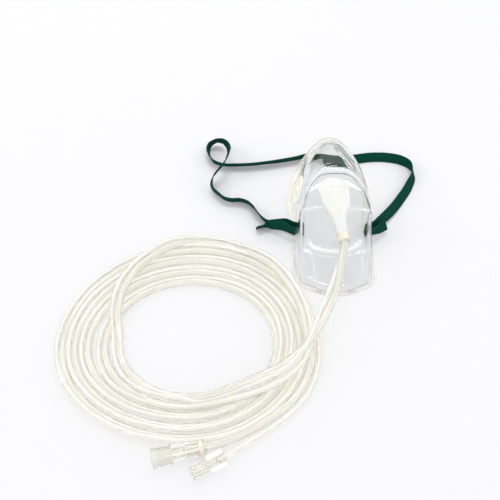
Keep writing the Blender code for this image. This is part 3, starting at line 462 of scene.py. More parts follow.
@dataclass(frozen=True)
class TubingFinish:
    """Extruded PVC tubing, with fine painted shade lines along it for the way its bore bends the light.

    Args:
        name: The material's name.
        tint: Its colour in sRGB hex.
        groove: Its painted shade along those lines.
        lines: Number of lines round it.
        clear: Share that refracts.
    """

    name: str
    tint: str
    groove: str
    lines: int
    clear: float

    def build(self) -> bpy.types.Material:
        """Cream translucent plastic, its painted shade lines a cosine of the turn round the tube in the UVs.
        """
        shader = Shader.of_material(self.name)
        uv = shader.node("UVMap", {"uv_map": "tube"}).outputs["UV"]
        around = shader.node("SeparateXYZ", Vector=uv).outputs["Y"]
        # Painted shade: evenly spaced darker lines round the tube.
        wave = shader.maths("COSINE", shader.maths("MULTIPLY", around, 2 * math.pi * self.lines))
        sharp = shader.node("MapRange", Value=wave, From_Min=0.2, From_Max=1.0, To_Min=0.0, To_Max=1.0)
        body = shader.node(
            "BsdfPrincipled",
            Base_Color=shader.between(sharp.outputs[0], self.tint, self.groove),
            Roughness=0.09,
            IOR=1.5,
            Transmission_Weight=self.clear,
            Subsurface_Weight=0.5,
            Subsurface_Scale=2.0 * MM,
            Subsurface_Radius=(1.0, 0.97, 0.85),
            Coat_Weight=0.3,
            Coat_Roughness=0.05,
        )
        return shader.finish(shader.lit_through(body.outputs["BSDF"], (0.965, 0.96, 0.945)))


@dataclass(frozen=True)
class WovenFinish:
    """Flat elastic: rubber cords under a tight knit.

    Args:
        name: The material's name.
        tint: Its colour in sRGB hex.
        shade: Its colour between the cords, painted shade in the grooves there.
        cords: Number of cords across the band.
        stitch_mm: Length of one stitch.
    """

    name: str
    tint: str
    shade: str
    cords: int
    stitch_mm: float

    def build(self) -> bpy.types.Material:
        """Cords as a cosine across the band, and stitches as a sine of the millimetres along it, with painted
        shade between them.
        """
        shader = Shader.of_material(self.name)
        uv = shader.node("UVMap", {"uv_map": "band"}).outputs["UV"]
        place = shader.node("SeparateXYZ", Vector=uv).outputs
        stitch = shader.maths("SINE", shader.maths("MULTIPLY", place["X"], 2 * math.pi / self.stitch_mm))
        cord = shader.maths("COSINE", shader.maths("MULTIPLY", place["Y"], 2 * math.pi * self.cords))
        knit = shader.maths("MULTIPLY_ADD", stitch, 0.35, cord)
        share = shader.node("MapRange", Value=knit, From_Min=-1.3, From_Max=1.3, To_Min=0.0, To_Max=1.0)
        # Painted shade: darker between the cords and between the stitches.
        body = shader.node(
            "BsdfPrincipled",
            Base_Color=shader.between(share.outputs[0], self.shade, self.tint),
            Roughness=0.8,
            Specular_IOR_Level=0.1,
            Normal=shader.bump(share.outputs[0], 0.6, 0.15),
        )
        return shader.finish(body.outputs["BSDF"])


# Clear PVC from a polished mould: glassy, with slow ripples that make the highlights wander, and painted
# highlight lines along its ridges.
CLEAR_SHELL = ClearFinish("Clear moulded PVC", "#f2f4f4", 0.03, 0.96, 14.0, 0.25, painted_highlights=True)
# Moulded polystyrene: clear, a little warm and hazed, with painted highlight lines along its ribs.
CLEAR_STYRENE = ClearFinish("Clear moulded styrene", "#f5f4ed", 0.15, 0.955, 6.0, 0.1, 0.87, painted_highlights=True)
# Soft PVC: as clear as the shell but duller and warmer, because it is plasticised.
SEAL = ClearFinish("Soft moulded PVC", "#fdfbf2", 0.12, 0.97, 9.0, 0.3, 0.75)
# Moulded silicone: a cream, satin rubber that glows softly at its edges.
SILICONE = MilkyFinish("Moulded silicone", "#fffdf2", "#fdf7e0", 0.35, 0.1, 2.5, 4.0, 0.9)
# Moulded polyethylene: milky white with faint clouds and a soft gloss.
MILKY = MilkyFinish("Milky moulded polyethylene", "#f9faf7", "#f2f3ee", 0.25, 0.4, 1.5, 7.0, 0.85)
# Soft PVC with a little yellow pigment: a pale, waxy ring.
YELLOW = MilkyFinish("Yellow moulded PVC", "#fbf7e6", "#f8f0d6", 0.3, 0.35, 1.5, 3.0, 0.85)
# Extruded PVC: cream and glossy, with long painted shade lines for where the bore bends the light.
TUBING = TubingFinish("Extruded tubing PVC", "#fefefb", "#eeece0", 7, 0.78)
LINE_TUBING = TubingFinish("Extruded line PVC", "#fefefb", "#f3f1e7", 3, 0.6)
# Knitted elastic: seven cords across 9.5 mm and 1.1 mm stitches, matt, with painted shade between them.
ELASTIC = WovenFinish("Knitted green elastic", "#02503d", "#01271d", 7, 1.1)


def unit(vectors: np.ndarray) -> np.ndarray:
    """Vectors along the last axis, each made 1 long."""
    return vectors / np.linalg.norm(vectors, axis=-1, keepdims=True)


def eased(share: np.ndarray) -> np.ndarray:
    """A share that starts and ends level: three times its square less twice its cube."""
    return share * share * (3 - 2 * share)


def circle(steps: int) -> tuple[np.ndarray, np.ndarray]:
    """Cosines and sines of even angles round a full turn."""
    angles = np.arange(steps) * 2 * math.pi / steps
    return np.cos(angles), np.sin(angles)


def smooth_through(
    points: np.ndarray, knots: Sequence, at: Sequence, start_slope: np.ndarray | None = None
) -> np.ndarray:
    """Reads the smooth curves that pass through points along their first axis.

    The slope at a knot is the mean of the chords on its two sides, each weighted by the length of the other,
    and a cubic with those slopes joins each knot to the next.

    Args:
        points: Values at the knots.
        knots: Rising numbers, one for each point.
        at: Where to read, in the knots' terms.
        start_slope: The slope at the first knot, or None for that of the first stretch.

    Returns:
        One value for each of at.
    """
    knots = np.asarray(knots, float)
    gaps = np.diff(knots)
    column = (-1, *([1] * (points.ndim - 1)))
    share = gaps.reshape(column)
    chords = np.diff(points, axis=0) / share
    slopes = np.empty_like(points)
    slopes[0] = chords[0] if start_slope is None else start_slope
    slopes[-1] = chords[-1]
    slopes[1:-1] = (share[1:] * chords[:-1] + share[:-1] * chords[1:]) / (share[1:] + share[:-1])
    span = np.clip(np.searchsorted(knots, at, side="right") - 1, 0, len(gaps) - 1)
    t = ((np.asarray(at) - knots[span]) / gaps[span]).reshape(column)
    h = share[span]
    start = (2 * t**3 - 3 * t**2 + 1) * points[span] + (t**3 - 2 * t**2 + t) * h * slopes[span]
    end = (3 * t**2 - 2 * t**3) * points[span + 1] + (t**3 - t**2) * h * slopes[span + 1]
    return start + end


def lengths(points: np.ndarray) -> np.ndarray:
    """Distance along a route at each of its points."""
    return np.concatenate([[0.0], np.cumsum(np.linalg.norm(np.diff(points, axis=0), axis=1))])


def resampled(points: np.ndarray, step: float) -> np.ndarray:
    """Even points along a fine route.

    Args:
        points: The route, with any further values of each point in more columns.
        step: About how far apart they are.

    Returns:
        The points, with the same columns.
    """
    knots = lengths(points)
    at = np.linspace(0.0, knots[-1], max(2, round(knots[-1] / step) + 1))
    return np.stack([np.interp(at, knots, column) for column in points.T], axis=1)


def smooth_route(route: Sequence, step: float) -> np.ndarray:
    """Even points on the smooth curve through a route.

    Args:
        route: Its points, with any further values of each after its place.
        step: About how far apart they are.

    Returns:
        The points, with the same columns.
    """
    points = np.array(route, float)
    knots = lengths(points)
    fine = smooth_through(points, knots, np.linspace(0.0, knots[-1], 12 * len(points)))
    return resampled(fine, step)


def softened(values: np.ndarray, reach: int) -> np.ndarray:
    """Smooths rows of values by a bell-shaped mean of their neighbours, with the ends kept.

    Args:
        values: One row for each place.
        reach: How many neighbours count at each side.

    Returns:
        As many rows.
    """
    kernel = np.hanning(2 * reach + 3)[1:-1]
    kernel /= kernel.sum()
    padded = np.concatenate([np.repeat(values[:1], reach, 0), values, np.repeat(values[-1:], reach, 0)])
    return np.stack([np.convolve(column, kernel, "valid") for column in padded.T], axis=1)


def new_piece(
    name: str, points: np.ndarray, faces: list, material: bpy.types.Material, sharp: float | None = None
) -> bpy.types.Object:
    """Makes an object from points in millimetres and lets it ride on the body.

    Args:
        name: The piece's name.
        points: Corner points in millimetres.
        faces: Point numbers of each face, facing out.
        material: Its material.
        sharp: Angle in degrees over which an edge stays sharp.

    Returns:
        The object.
    """
    mesh = bpy.data.meshes.new(name)
    mesh.from_pydata((points * MM).tolist(), [], faces)
    mesh.materials.append(material)
    mesh.shade_smooth()
    if sharp is not None:
        mesh.set_sharp_from_angle(angle=math.radians(sharp))
    piece = bpy.data.objects.new(name, mesh)
    bpy.context.scene.collection.objects.link(piece)
    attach(piece, "root")
    return piece


def grid_faces(rows: int, columns: int, wrap_rows: bool = False, wrap_columns: bool = False) -> np.ndarray:
    """Faces of a grid whose points are numbered row by row.

    Args:
        rows: Number of rows.
        columns: Number of points in a row.
        wrap_rows: Whether the last row joins the first.
        wrap_columns: Whether the last point of a row joins its first.

    Returns:
        Four point numbers a face: a point, the next in its row, and the two beyond them.
    """
    row, column = np.meshgrid(
        np.arange(rows if wrap_rows else rows - 1),
        np.arange(columns if wrap_columns else columns - 1),
        indexing="ij",
    )
    beyond, beside = (row + 1) % rows, (column + 1) % columns
    corners = ((row, column), (row, beside), (beyond, beside), (beyond, column))
    return np.stack([r * columns + c for r, c in corners], axis=-1).reshape(-1, 4)


def loft(rings: np.ndarray) -> Body:
    """A closed body through rings of equal counts, with flat ends.

    Args:
        rings: One ring a row, each turning left along the rings.

    Returns:
        Its points and faces.
    """
    count = rings.shape[1]
    last = (len(rings) - 1) * count
    faces = grid_faces(len(rings), count, wrap_columns=True).tolist()
    faces += [list(reversed(range(count))), list(range(last, last + count))]
    return rings.reshape(-1, 3), faces


def revolved(radius: np.ndarray, height: np.ndarray, steps: int) -> np.ndarray:
    """Points turned about Z: each at its radius round a circle, with its height.

    Args:
        radius: One for each point.
        height: One for each point.
        steps: Number of copies round the axis.

    Returns:
        One copy of the points a row.
    """
    cosines, sines = circle(steps)
    heights = np.broadcast_to(height, (steps, len(radius)))
    return np.stack([np.outer(cosines, radius), np.outer(sines, radius), heights], axis=2)


def turned(profile: Sequence, steps: int = 72) -> Body:
    """A ring turned about Z.

    Args:
        profile: Points of radius and height, up its bore and down its outside.
        steps: Number of copies round it.

    Returns:
        Its points and faces.
    """
    rings = revolved(*np.array(profile, float).T, steps)
    return rings.reshape(-1, 3), grid_faces(steps, len(profile), True, True).tolist()


def rod(radius: float, low: float, high: float, steps: int = 40) -> Body:
    """A cylinder about Z, from one height to another."""
    return loft(revolved(np.full(2, radius), np.array([low, high]), steps).transpose(1, 0, 2))


def box(low: Triple, high: Triple) -> Body:
    """A box between two corners."""
    (x, y, _), (far_x, far_y, _) = low, high
    rings = [[(x, y, z), (far_x, y, z), (far_x, far_y, z), (x, far_y, z)] for z in (low[2], high[2])]
    return loft(np.array(rings, float))


def joined(parts: Sequence[Body]) -> Body:
    """Several bodies as one mesh."""
    faces, start = [], 0
    for points, sides in parts:
        faces += [[start + i for i in face] for face in sides]
        start += len(points)
    return np.concatenate([points for points, _ in parts]), faces


def placed(matrix: Matrix, points: np.ndarray) -> np.ndarray:
    """Points moved by a matrix."""
    return points @ np.array(matrix.to_3x3()).T + np.array(matrix.translation)


def frame_at(origin: Sequence, normal: Sequence, ahead: Sequence) -> Matrix:
    """Makes a place from two directions.

    Args:
        origin: Where it is.
        normal: Where its Z points.
        ahead: Where its Y points, as nearly as its Z allows.

    Returns:
        Its matrix.
    """
    z = Vector(normal).normalized()
    y = (Vector(ahead) - Vector(ahead).dot(z) * z).normalized()
    matrix = Matrix((y.cross(z), y, z)).transposed().to_4x4()
    matrix.translation = Vector(origin)
    return matrix


def cut(piece: bpy.types.Object, parts: Sequence[Body], operation: str = "DIFFERENCE") -> None:
    """Cuts bodies from a piece, or adds them to it, with an exact Boolean that is applied.

    Args:
        piece: The piece.
        parts: The bodies, in millimetres.
        operation: DIFFERENCE or UNION.
    """
    points, faces = joined(parts)
    mesh = bpy.data.meshes.new("cutter")
    mesh.from_pydata((points * MM).tolist(), [], faces)
    tool = bpy.data.objects.new("cutter", mesh)
    bpy.context.scene.collection.objects.link(tool)
    modifier = piece.modifiers.new("cut", "BOOLEAN")
    modifier.operation = operation
    modifier.solver = "EXACT"
    modifier.object = tool
    graph = bpy.context.evaluated_depsgraph_get()
    made = bpy.data.meshes.new_from_object(piece.evaluated_get(graph))
    piece.modifiers.clear()
    old = piece.data
    piece.data = made
    bpy.data.meshes.remove(old)
    bpy.data.objects.remove(tool)
    bpy.data.meshes.remove(mesh)
    made.set_sharp_from_angle(angle=math.radians(35.0))


def add_painted_highlights(piece: bpy.types.Object, values: np.ndarray) -> None:
    """Stores each point's share of painted highlight, for a finish with painted highlight lines."""
    layer = piece.data.attributes.new(HIGHLIGHT_ATTRIBUTE, "FLOAT", "POINT")
    layer.data.foreach_set("value", values)


def along_curve(points: np.ndarray, curve: np.ndarray) -> tuple[np.ndarray, np.ndarray]:
    """Finds the place on a polyline that is nearest to each point, seen from above.

    A point's nearest place on one stretch is its shadow on that stretch, held between the stretch's ends.

    Args:
        points: An array of points whose last axis starts with x and y.
        curve: The polyline's corners in x and y.

    Returns:
        The distances from it, and the places along it from 0 to 1.
    """
    at = lengths(curve)
    best = np.full(points.shape[:-1], np.inf)
    place = np.zeros(points.shape[:-1])
    for number, (start, end) in enumerate(zip(curve[:-1], curve[1:])):
        step = end - start
        share = np.clip(((points[..., :2] - start) @ step) / (step @ step), 0.0, 1.0)
        away = np.linalg.norm(points[..., :2] - start - share[..., None] * step, axis=-1)
        nearer = away < best
        best = np.where(nearer, away, best)
        place = np.where(nearer, (at[number] + share * (at[number + 1] - at[number])) / at[-1], place)
    return best, place


@dataclass(frozen=True)
class Ridge:
    """A raised line moulded into the shell, seen from above, with a painted highlight on its crest, which
    fades out at its ends.

    Args:
        curve: Its corners in x and y.
        height: How far it stands out.
        width: Half of its width.
        white: Share of painted highlight on its crest.
        fade: Share of its length over which each end fades.
        lowest: Height under which it stops, at the rim.
    """

    curve: tuple
    height: float
    width: float
    white: float
    fade: float = 0.06
    lowest: float = 6.0

    def bell(self, grid: np.ndarray) -> np.ndarray:
        """Its share of its full height: a bell curve of the distance from it, times the fade at its ends.

        Args:
            grid: The shell's points.

        Returns:
            The share at each of them.
        """
        smooth = smooth_route([(x, y, 0.0) for x, y in self.curve], 1.0)[:, :2]
        away, place = along_curve(grid, smooth)
        ends = np.clip(np.minimum(place, 1.0 - place) / self.fade, 0.0, 1.0)
        return np.exp(-((away / self.width) ** 2)) * ends * (grid[..., 2] > self.lowest)


# The shell's moulded lines as seen from above, each raised and with a painted highlight on its crest: the
# arch, the step to the lower panel, the crease under the arch, and one line at the nose.
ARCH = (
    (-28.4, 57.0), (-27.0, 63.5), (-24.6, 72.0), (-20.2, 80.0), (-12.8, 87.0), (0.0, 90.2),
    (12.8, 87.0), (20.2, 80.0), (24.6, 72.0), (27.0, 63.5), (28.4, 57.0),
)
LEDGE = ((-23.9, 40.7), (-19.8, 35.1), (-11.4, 32.0), (-2.9, 31.0), (10.9, 32.4), (19.8, 37.1), (23.6, 40.6))
CREASE = ((-28.8, 54.0), (-22.6, 55.5), (-12.4, 56.8), (0.3, 57.3), (12.2, 56.8), (24.9, 54.8), (28.8, 54.0))
NOSE_LINE = ((2.2, 125.5), (4.2, 118.2), (6.4, 111.8), (9.3, 104.7), (12.0, 96.0), (14.5, 90.5))
RIDGES = (
    Ridge(ARCH, 1.4, 1.0, 0.8),
    Ridge(CREASE, 0.9, 0.8, 0.8, 0.03),
    Ridge(LEDGE, 1.3, 2.2, 1.0),
    Ridge(((-28.3, 56.0), (-28.2, 38.0), (-27.0, 22.0)), 0.7, 1.0, 0.3),
    Ridge(((28.3, 56.0), (28.2, 38.0), (27.0, 22.0)), 0.7, 1.0, 0.3),
    Ridge(((-20.7, 30.7), (-17.7, 14.7), (-15.1, 1.8)), 0.8, 0.9, 0.3),
    Ridge(((22.3, 33.8), (23.1, 22.1), (23.3, 11.7)), 0.8, 0.9, 0.3),
    Ridge(NOSE_LINE, 0.9, 1.1, 0.45),
)


@dataclass(frozen=True)
class MaskSurface:
    """The outer surface of the shell, its rim and what stands on it.

    Args:
        grid: Its points, in rows from the chin to the nose and from left to right.
        lips: Width of the seal outside the rim at each row.
        tree: The surface for rays.
    """

    grid: np.ndarray
    lips: np.ndarray
    tree: BVHTree

    @classmethod
    def fitted(cls, step: float) -> MaskSurface:
        """Lofts the sections: smooth curves along the mask first, and then across it from its middle.

        Args:
            step: Distance of its points.

        Returns:
            The surface, with its right half mirrored to the left.
        """
        net = np.array([section.points() for section in SECTIONS], float)
        net[:, :, 2] += RIM_LIFT
        gaps = [np.linalg.norm(np.diff(net, axis=axis), axis=2).mean(axis=1 - axis) for axis in (0, 1)]
        along, across = (np.concatenate([[0.0], np.cumsum(gap)]) for gap in gaps)
        rows_at, columns_at = (np.linspace(0.0, w[-1], round(w[-1] / step) + 1) for w in (along, across))
        rows = smooth_through(net, along, rows_at)
        level = np.zeros_like(rows[:, 0])
        level[:, 0] = rows[:, 1, 0] / across[1]
        half = smooth_through(rows.transpose(1, 0, 2), across, columns_at, level).transpose(1, 0, 2)
        lips = smooth_through(np.array([[section.lip] for section in SECTIONS]), along, rows_at)[:, 0]
        grid = np.concatenate([half[:, :0:-1] * (-1.0, 1.0, 1.0), half], axis=1)
        faces = grid_faces(*grid.shape[:2]).tolist()
        return cls(grid, lips, BVHTree.FromPolygons(grid.reshape(-1, 3).tolist(), faces))

    def border(self) -> np.ndarray:
        """Point numbers round the rim, from the chin's left corner by its right corner and the nose."""
        rows, columns = self.grid.shape[:2]
        chin = np.arange(columns)
        right = np.arange(1, rows) * columns + columns - 1
        nose = (rows - 1) * columns + np.arange(columns - 2, -1, -1)
        left = np.arange(rows - 2, 0, -1) * columns
        return np.concatenate([chin, right, nose, left])

    def rim(self) -> tuple[np.ndarray, np.ndarray, np.ndarray, np.ndarray]:
        """The closed rim: its points, lip widths, and unit vectors up and outward."""
        order = self.border()
        path = self.grid.reshape(-1, 3)[order]
        ahead = np.roll(path, -1, axis=0) - np.roll(path, 1, axis=0)
        for _ in range(3):
            ahead = (np.roll(ahead, 1, axis=0) + 2 * ahead + np.roll(ahead, -1, axis=0)) / 4
        ahead = unit(ahead)
        up = unit(np.array(UP) - ahead[:, 2:] * ahead)
        return path, self.lips[order // self.grid.shape[1]], up, np.cross(ahead, up)

    def normals(self) -> np.ndarray:
        """Unit normals of the outer surface: the cross product of its slopes across and along."""
        return unit(np.cross(np.gradient(self.grid, axis=1), np.gradient(self.grid, axis=0)))

    def vent(self, side: int) -> Matrix:
        """Where a vent sits on one cheek."""
        start = Vector((side * BESIDE, VENT_Y, VENT_Z))
        hit, normal, _, _ = self.tree.ray_cast(start, Vector((-side, 0.0, 0.0)))
        return frame_at(hit, normal, (0.0, 1.0, 0.0))

    def port(self) -> Matrix:
        """The connector's place: origin on the facet, Z out of it, and -Y along the tubes."""
        hit, normal, _, _ = self.tree.ray_cast(Vector((PORT_X, PORT_Y, ABOVE)), -Vector(UP))
        ahead = (-math.sin(CONNECTOR_YAW), math.cos(CONNECTOR_YAW), 0.0)
        return frame_at(hit, (0.0, normal.y, normal.z), ahead)

    def wall_x(self, y: float) -> float:
        """Distance of the shell's side from the middle, at the slots' height."""
        return self.tree.ray_cast(Vector((BESIDE, y, SLOT_Z)), Vector((-1.0, 0.0, 0.0)))[0].x


@dataclass(frozen=True)
class MaskShell:
    """The clear shell, cut for the port, the valves and the strap.

    Args:
        surface: Its outer surface.
        holes: Number of holes under each valve.
        hole_radius: Radius of one.
        hole_circle: Radius of the circle that they stand on.
        slot_width: Width of a strap slot.
        slot_margin: Room over and under the strap in it.
        slot_depth: How far its cutter reaches to each side of the wall.
    """

    surface: MaskSurface
    holes: int = 8
    hole_radius: float = 1.7
    hole_circle: float = 7.6
    slot_width: float = 2.4
    slot_margin: float = 0.8
    slot_depth: float = 4.0

    def skirt(self) -> list[np.ndarray]:
        """Rings under the rim, down the outside of the skirt, round its rounded edge and up again."""
        path, _, up, out = self.surface.rim()
        low = path - SKIRT * up
        return [
            path - 0.6 * SKIRT * up,
            low + 0.25 * up - 0.1 * out,
            low - 0.4 * out,
            low - (WALL - 0.4) * out,
            low + 0.25 * up - (WALL - 0.1) * out,
        ]

    def build(self, material: bpy.types.Material) -> bpy.types.Object:
        """Outer and inner skins joined by a rounded skirt.

        The outer skin is raised along its normals by the highest ridge at each point, and the inner one is
        the surface itself moved in by the wall.

        Args:
            material: Its material.

        Returns:
            The piece.
        """
        grid, normals = self.surface.grid, self.surface.normals()
        inner = grid - WALL * normals
        bells = np.stack([ridge.bell(grid) for ridge in RIDGES])
        heights, painted_whites = np.array([(ridge.height, ridge.white) for ridge in RIDGES]).T[:, :, None, None]
        outer = grid + (bells * heights).max(axis=0)[:, :, None] * normals
        # Painted highlight along the ridges' crests, stored for the finish.
        white = (bells**2 * painted_whites).max(axis=0)
        skin = grid_faces(*grid.shape[:2])
        count = white.size
        order = self.surface.border()
        skirt = self.skirt()
        rings = [order]
        rings += [2 * count + k * len(order) + np.arange(len(order)) for k in range(len(skirt))]
        rings.append(count + order)
        faces = [skin, count + skin[:, ::-1]]
        for first, second in zip(rings[:-1], rings[1:]):
            faces.append(np.stack([np.roll(first, -1), first, second, np.roll(second, -1)], axis=1))
        points = np.concatenate([outer.reshape(-1, 3), inner.reshape(-1, 3), *skirt])
        piece = new_piece("clear_shell", points, np.concatenate(faces).tolist(), material)
        add_painted_highlights(piece, np.pad(white.ravel(), (0, len(points) - count)))
        cut(piece, self.openings())
        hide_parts("mask_shell")
        return piece

    def openings(self) -> list[Body]:
        """Cutters for the port, the valves' holes and the strap's slots."""
        port, faces = rod(PORT_RADIUS, -9.0, 4.0, 64)
        parts = [(placed(self.surface.port(), port), faces)]
        for side in (-1, 1):
            vent = self.surface.vent(side)
            stud, faces = rod(STUD_RADIUS + GAP, -8.0, 8.0, 24)
            parts.append((placed(vent, stud), faces))
            hole, faces = rod(self.hole_radius, -8.0, 8.0, 24)
            for k in range(self.holes):
                angle = 2 * math.pi * (k + 0.5) / self.holes
                shift = self.hole_circle * np.array([math.cos(angle), math.sin(angle), 0.0])
                parts.append((placed(vent, hole + shift), faces))
            for y in (SLOT_FRONT_Y, SLOT_REAR_Y):
                middle = np.array([side * self.surface.wall_x(y), y, SLOT_Z])
                half = np.array([self.slot_depth, self.slot_width / 2, STRAP_HEIGHT / 2 + self.slot_margin])
                parts.append(box(middle - half, middle + half))
        return parts


@dataclass(frozen=True)
class FaceSeal:
    """The soft seal swept along the rim.

    Args:
        surface: The shell's surface.
        inner: How far its thin lip reaches inwards.
        bead: Width of the bead along its outer edge.
        bead_height: How far the bead stands over the lip.
        soften: How many points along the rim its width is evened over.
    """

    surface: MaskSurface
    inner: float = 2.5
    bead: float = 1.3
    bead_height: float = 1.0
    soften: int = 12

    def build(self, material: bpy.types.Material) -> bpy.types.Object:
        """A thin lip inwards and a beaded edge outwards, flat underneath: one profile carried round the rim.

        Args:
            material: Its material.

        Returns:
            The piece.
        """
        path, widths, up, out = self.surface.rim()
        count = len(widths)
        width = softened(np.tile(widths, 3)[:, None], self.soften)[count : 2 * count, 0]
        bead, inner = width - self.bead, -self.inner
        thick, top = SEAL_THICKNESS, SEAL_THICKNESS + self.bead_height
        profile = (
            (inner + 0.3, 0.0),
            (inner, 0.3),
            (inner + 0.2, 0.75),
            (inner + 1.0, thick - 0.05),
            (bead - 0.5, thick),
            (bead - 0.1, thick + 0.2),
            (bead + 0.1, top - 0.35),
            (bead + 0.4, top),
            (width - 0.45, top),
            (width - 0.1, top - 0.3),
            (width, top - 0.8),
            (width, 0.5),
            (width - 0.15, 0.15),
            (width - 0.5, 0.0),
        )
        base = path - RIM_LIFT * up
        rings = np.stack([base + (across * out.T).T + height * up for across, height in profile], axis=1)
        faces = grid_faces(count, len(profile), True, True).tolist()
        piece = new_piece("soft_seal", rings.reshape(-1, 3), faces, material)
        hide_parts("face_seal")
        return piece


@dataclass(frozen=True)
class ExhalationVent:
    """One valve's flap, draped on the cheek.

    Args:
        surface: The shell's surface.
        side: -1 for the left cheek and 1 for the right.
        radius: Of the flap.
        thickness: Of the flap.
        lift: Gap between the flap and the shell.
        stud_head: Radius of the stud's head inside the shell.
        steps: Number of points round it.
    """

    surface: MaskSurface
    side: int
    radius: float = 12.6
    thickness: float = 0.9
    lift: float = 0.5
    stud_head: float = 2.6
    steps: int = 72

    def profile(self) -> tuple:
        """Radius and height over the cheek, from the stud's head out to the bead and back to the button."""
        radius, under, top = self.radius, -WALL - GAP, self.lift + self.thickness
        return (
            (0.4, under - 1.5),
            (self.stud_head * 0.7, under - 1.3),
            (self.stud_head, under - 0.2),
            (self.stud_head - 0.2, under),
            (STUD_RADIUS, under),
            (STUD_RADIUS, self.lift),
            (radius - 0.4, self.lift),
            (radius - 0.05, self.lift + 0.25),
            (radius, top),
            (radius - 0.2, top + 0.5),
            (radius - 0.6, top + 0.65),
            (radius - 1.1, top + 0.5),
            (radius - 1.6, top),
            (9.0, top - 0.15),
            (6.0, top - 0.1),
            (3.4, top),
            (3.0, top + 0.5),
            (2.5, top + 0.8),
            (0.4, top + 0.95),
        )

    def build(self, material: bpy.types.Material) -> bpy.types.Object:
        """The flap with its beaded edge, its button and its stud.

        The profile is turned flat about the vent's axis, and each of its points is then dropped along that
        axis to its height over the cheek.

        Args:
            material: Its material.

        Returns:
            The piece.
        """
        radius, height = np.array(self.profile()).T
        matrix = self.surface.vent(self.side)
        down = -(matrix.to_3x3() @ Vector(UP))
        flat = revolved(radius, 0.0 * height, self.steps).reshape(-1, 3)
        starts = placed(matrix, flat) - 20.0 * np.array(down)
        hits = np.array([self.surface.tree.ray_cast(Vector(start), down)[0] for start in starts])
        points = hits - np.tile(height, self.steps)[:, None] * np.array(down)
        count = len(radius)
        faces = grid_faces(self.steps, count, wrap_rows=True)[:, [0, 3, 2, 1]].tolist()
        faces.append([k * count for k in reversed(range(self.steps))])
        faces.append([k * count + count - 1 for k in range(self.steps)])
        name = "right" if self.side > 0 else "left"
        piece = new_piece(f"vent_flap_{name}", points, faces, material)
        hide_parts(f"exhalation_vent_{name}")
        return piece


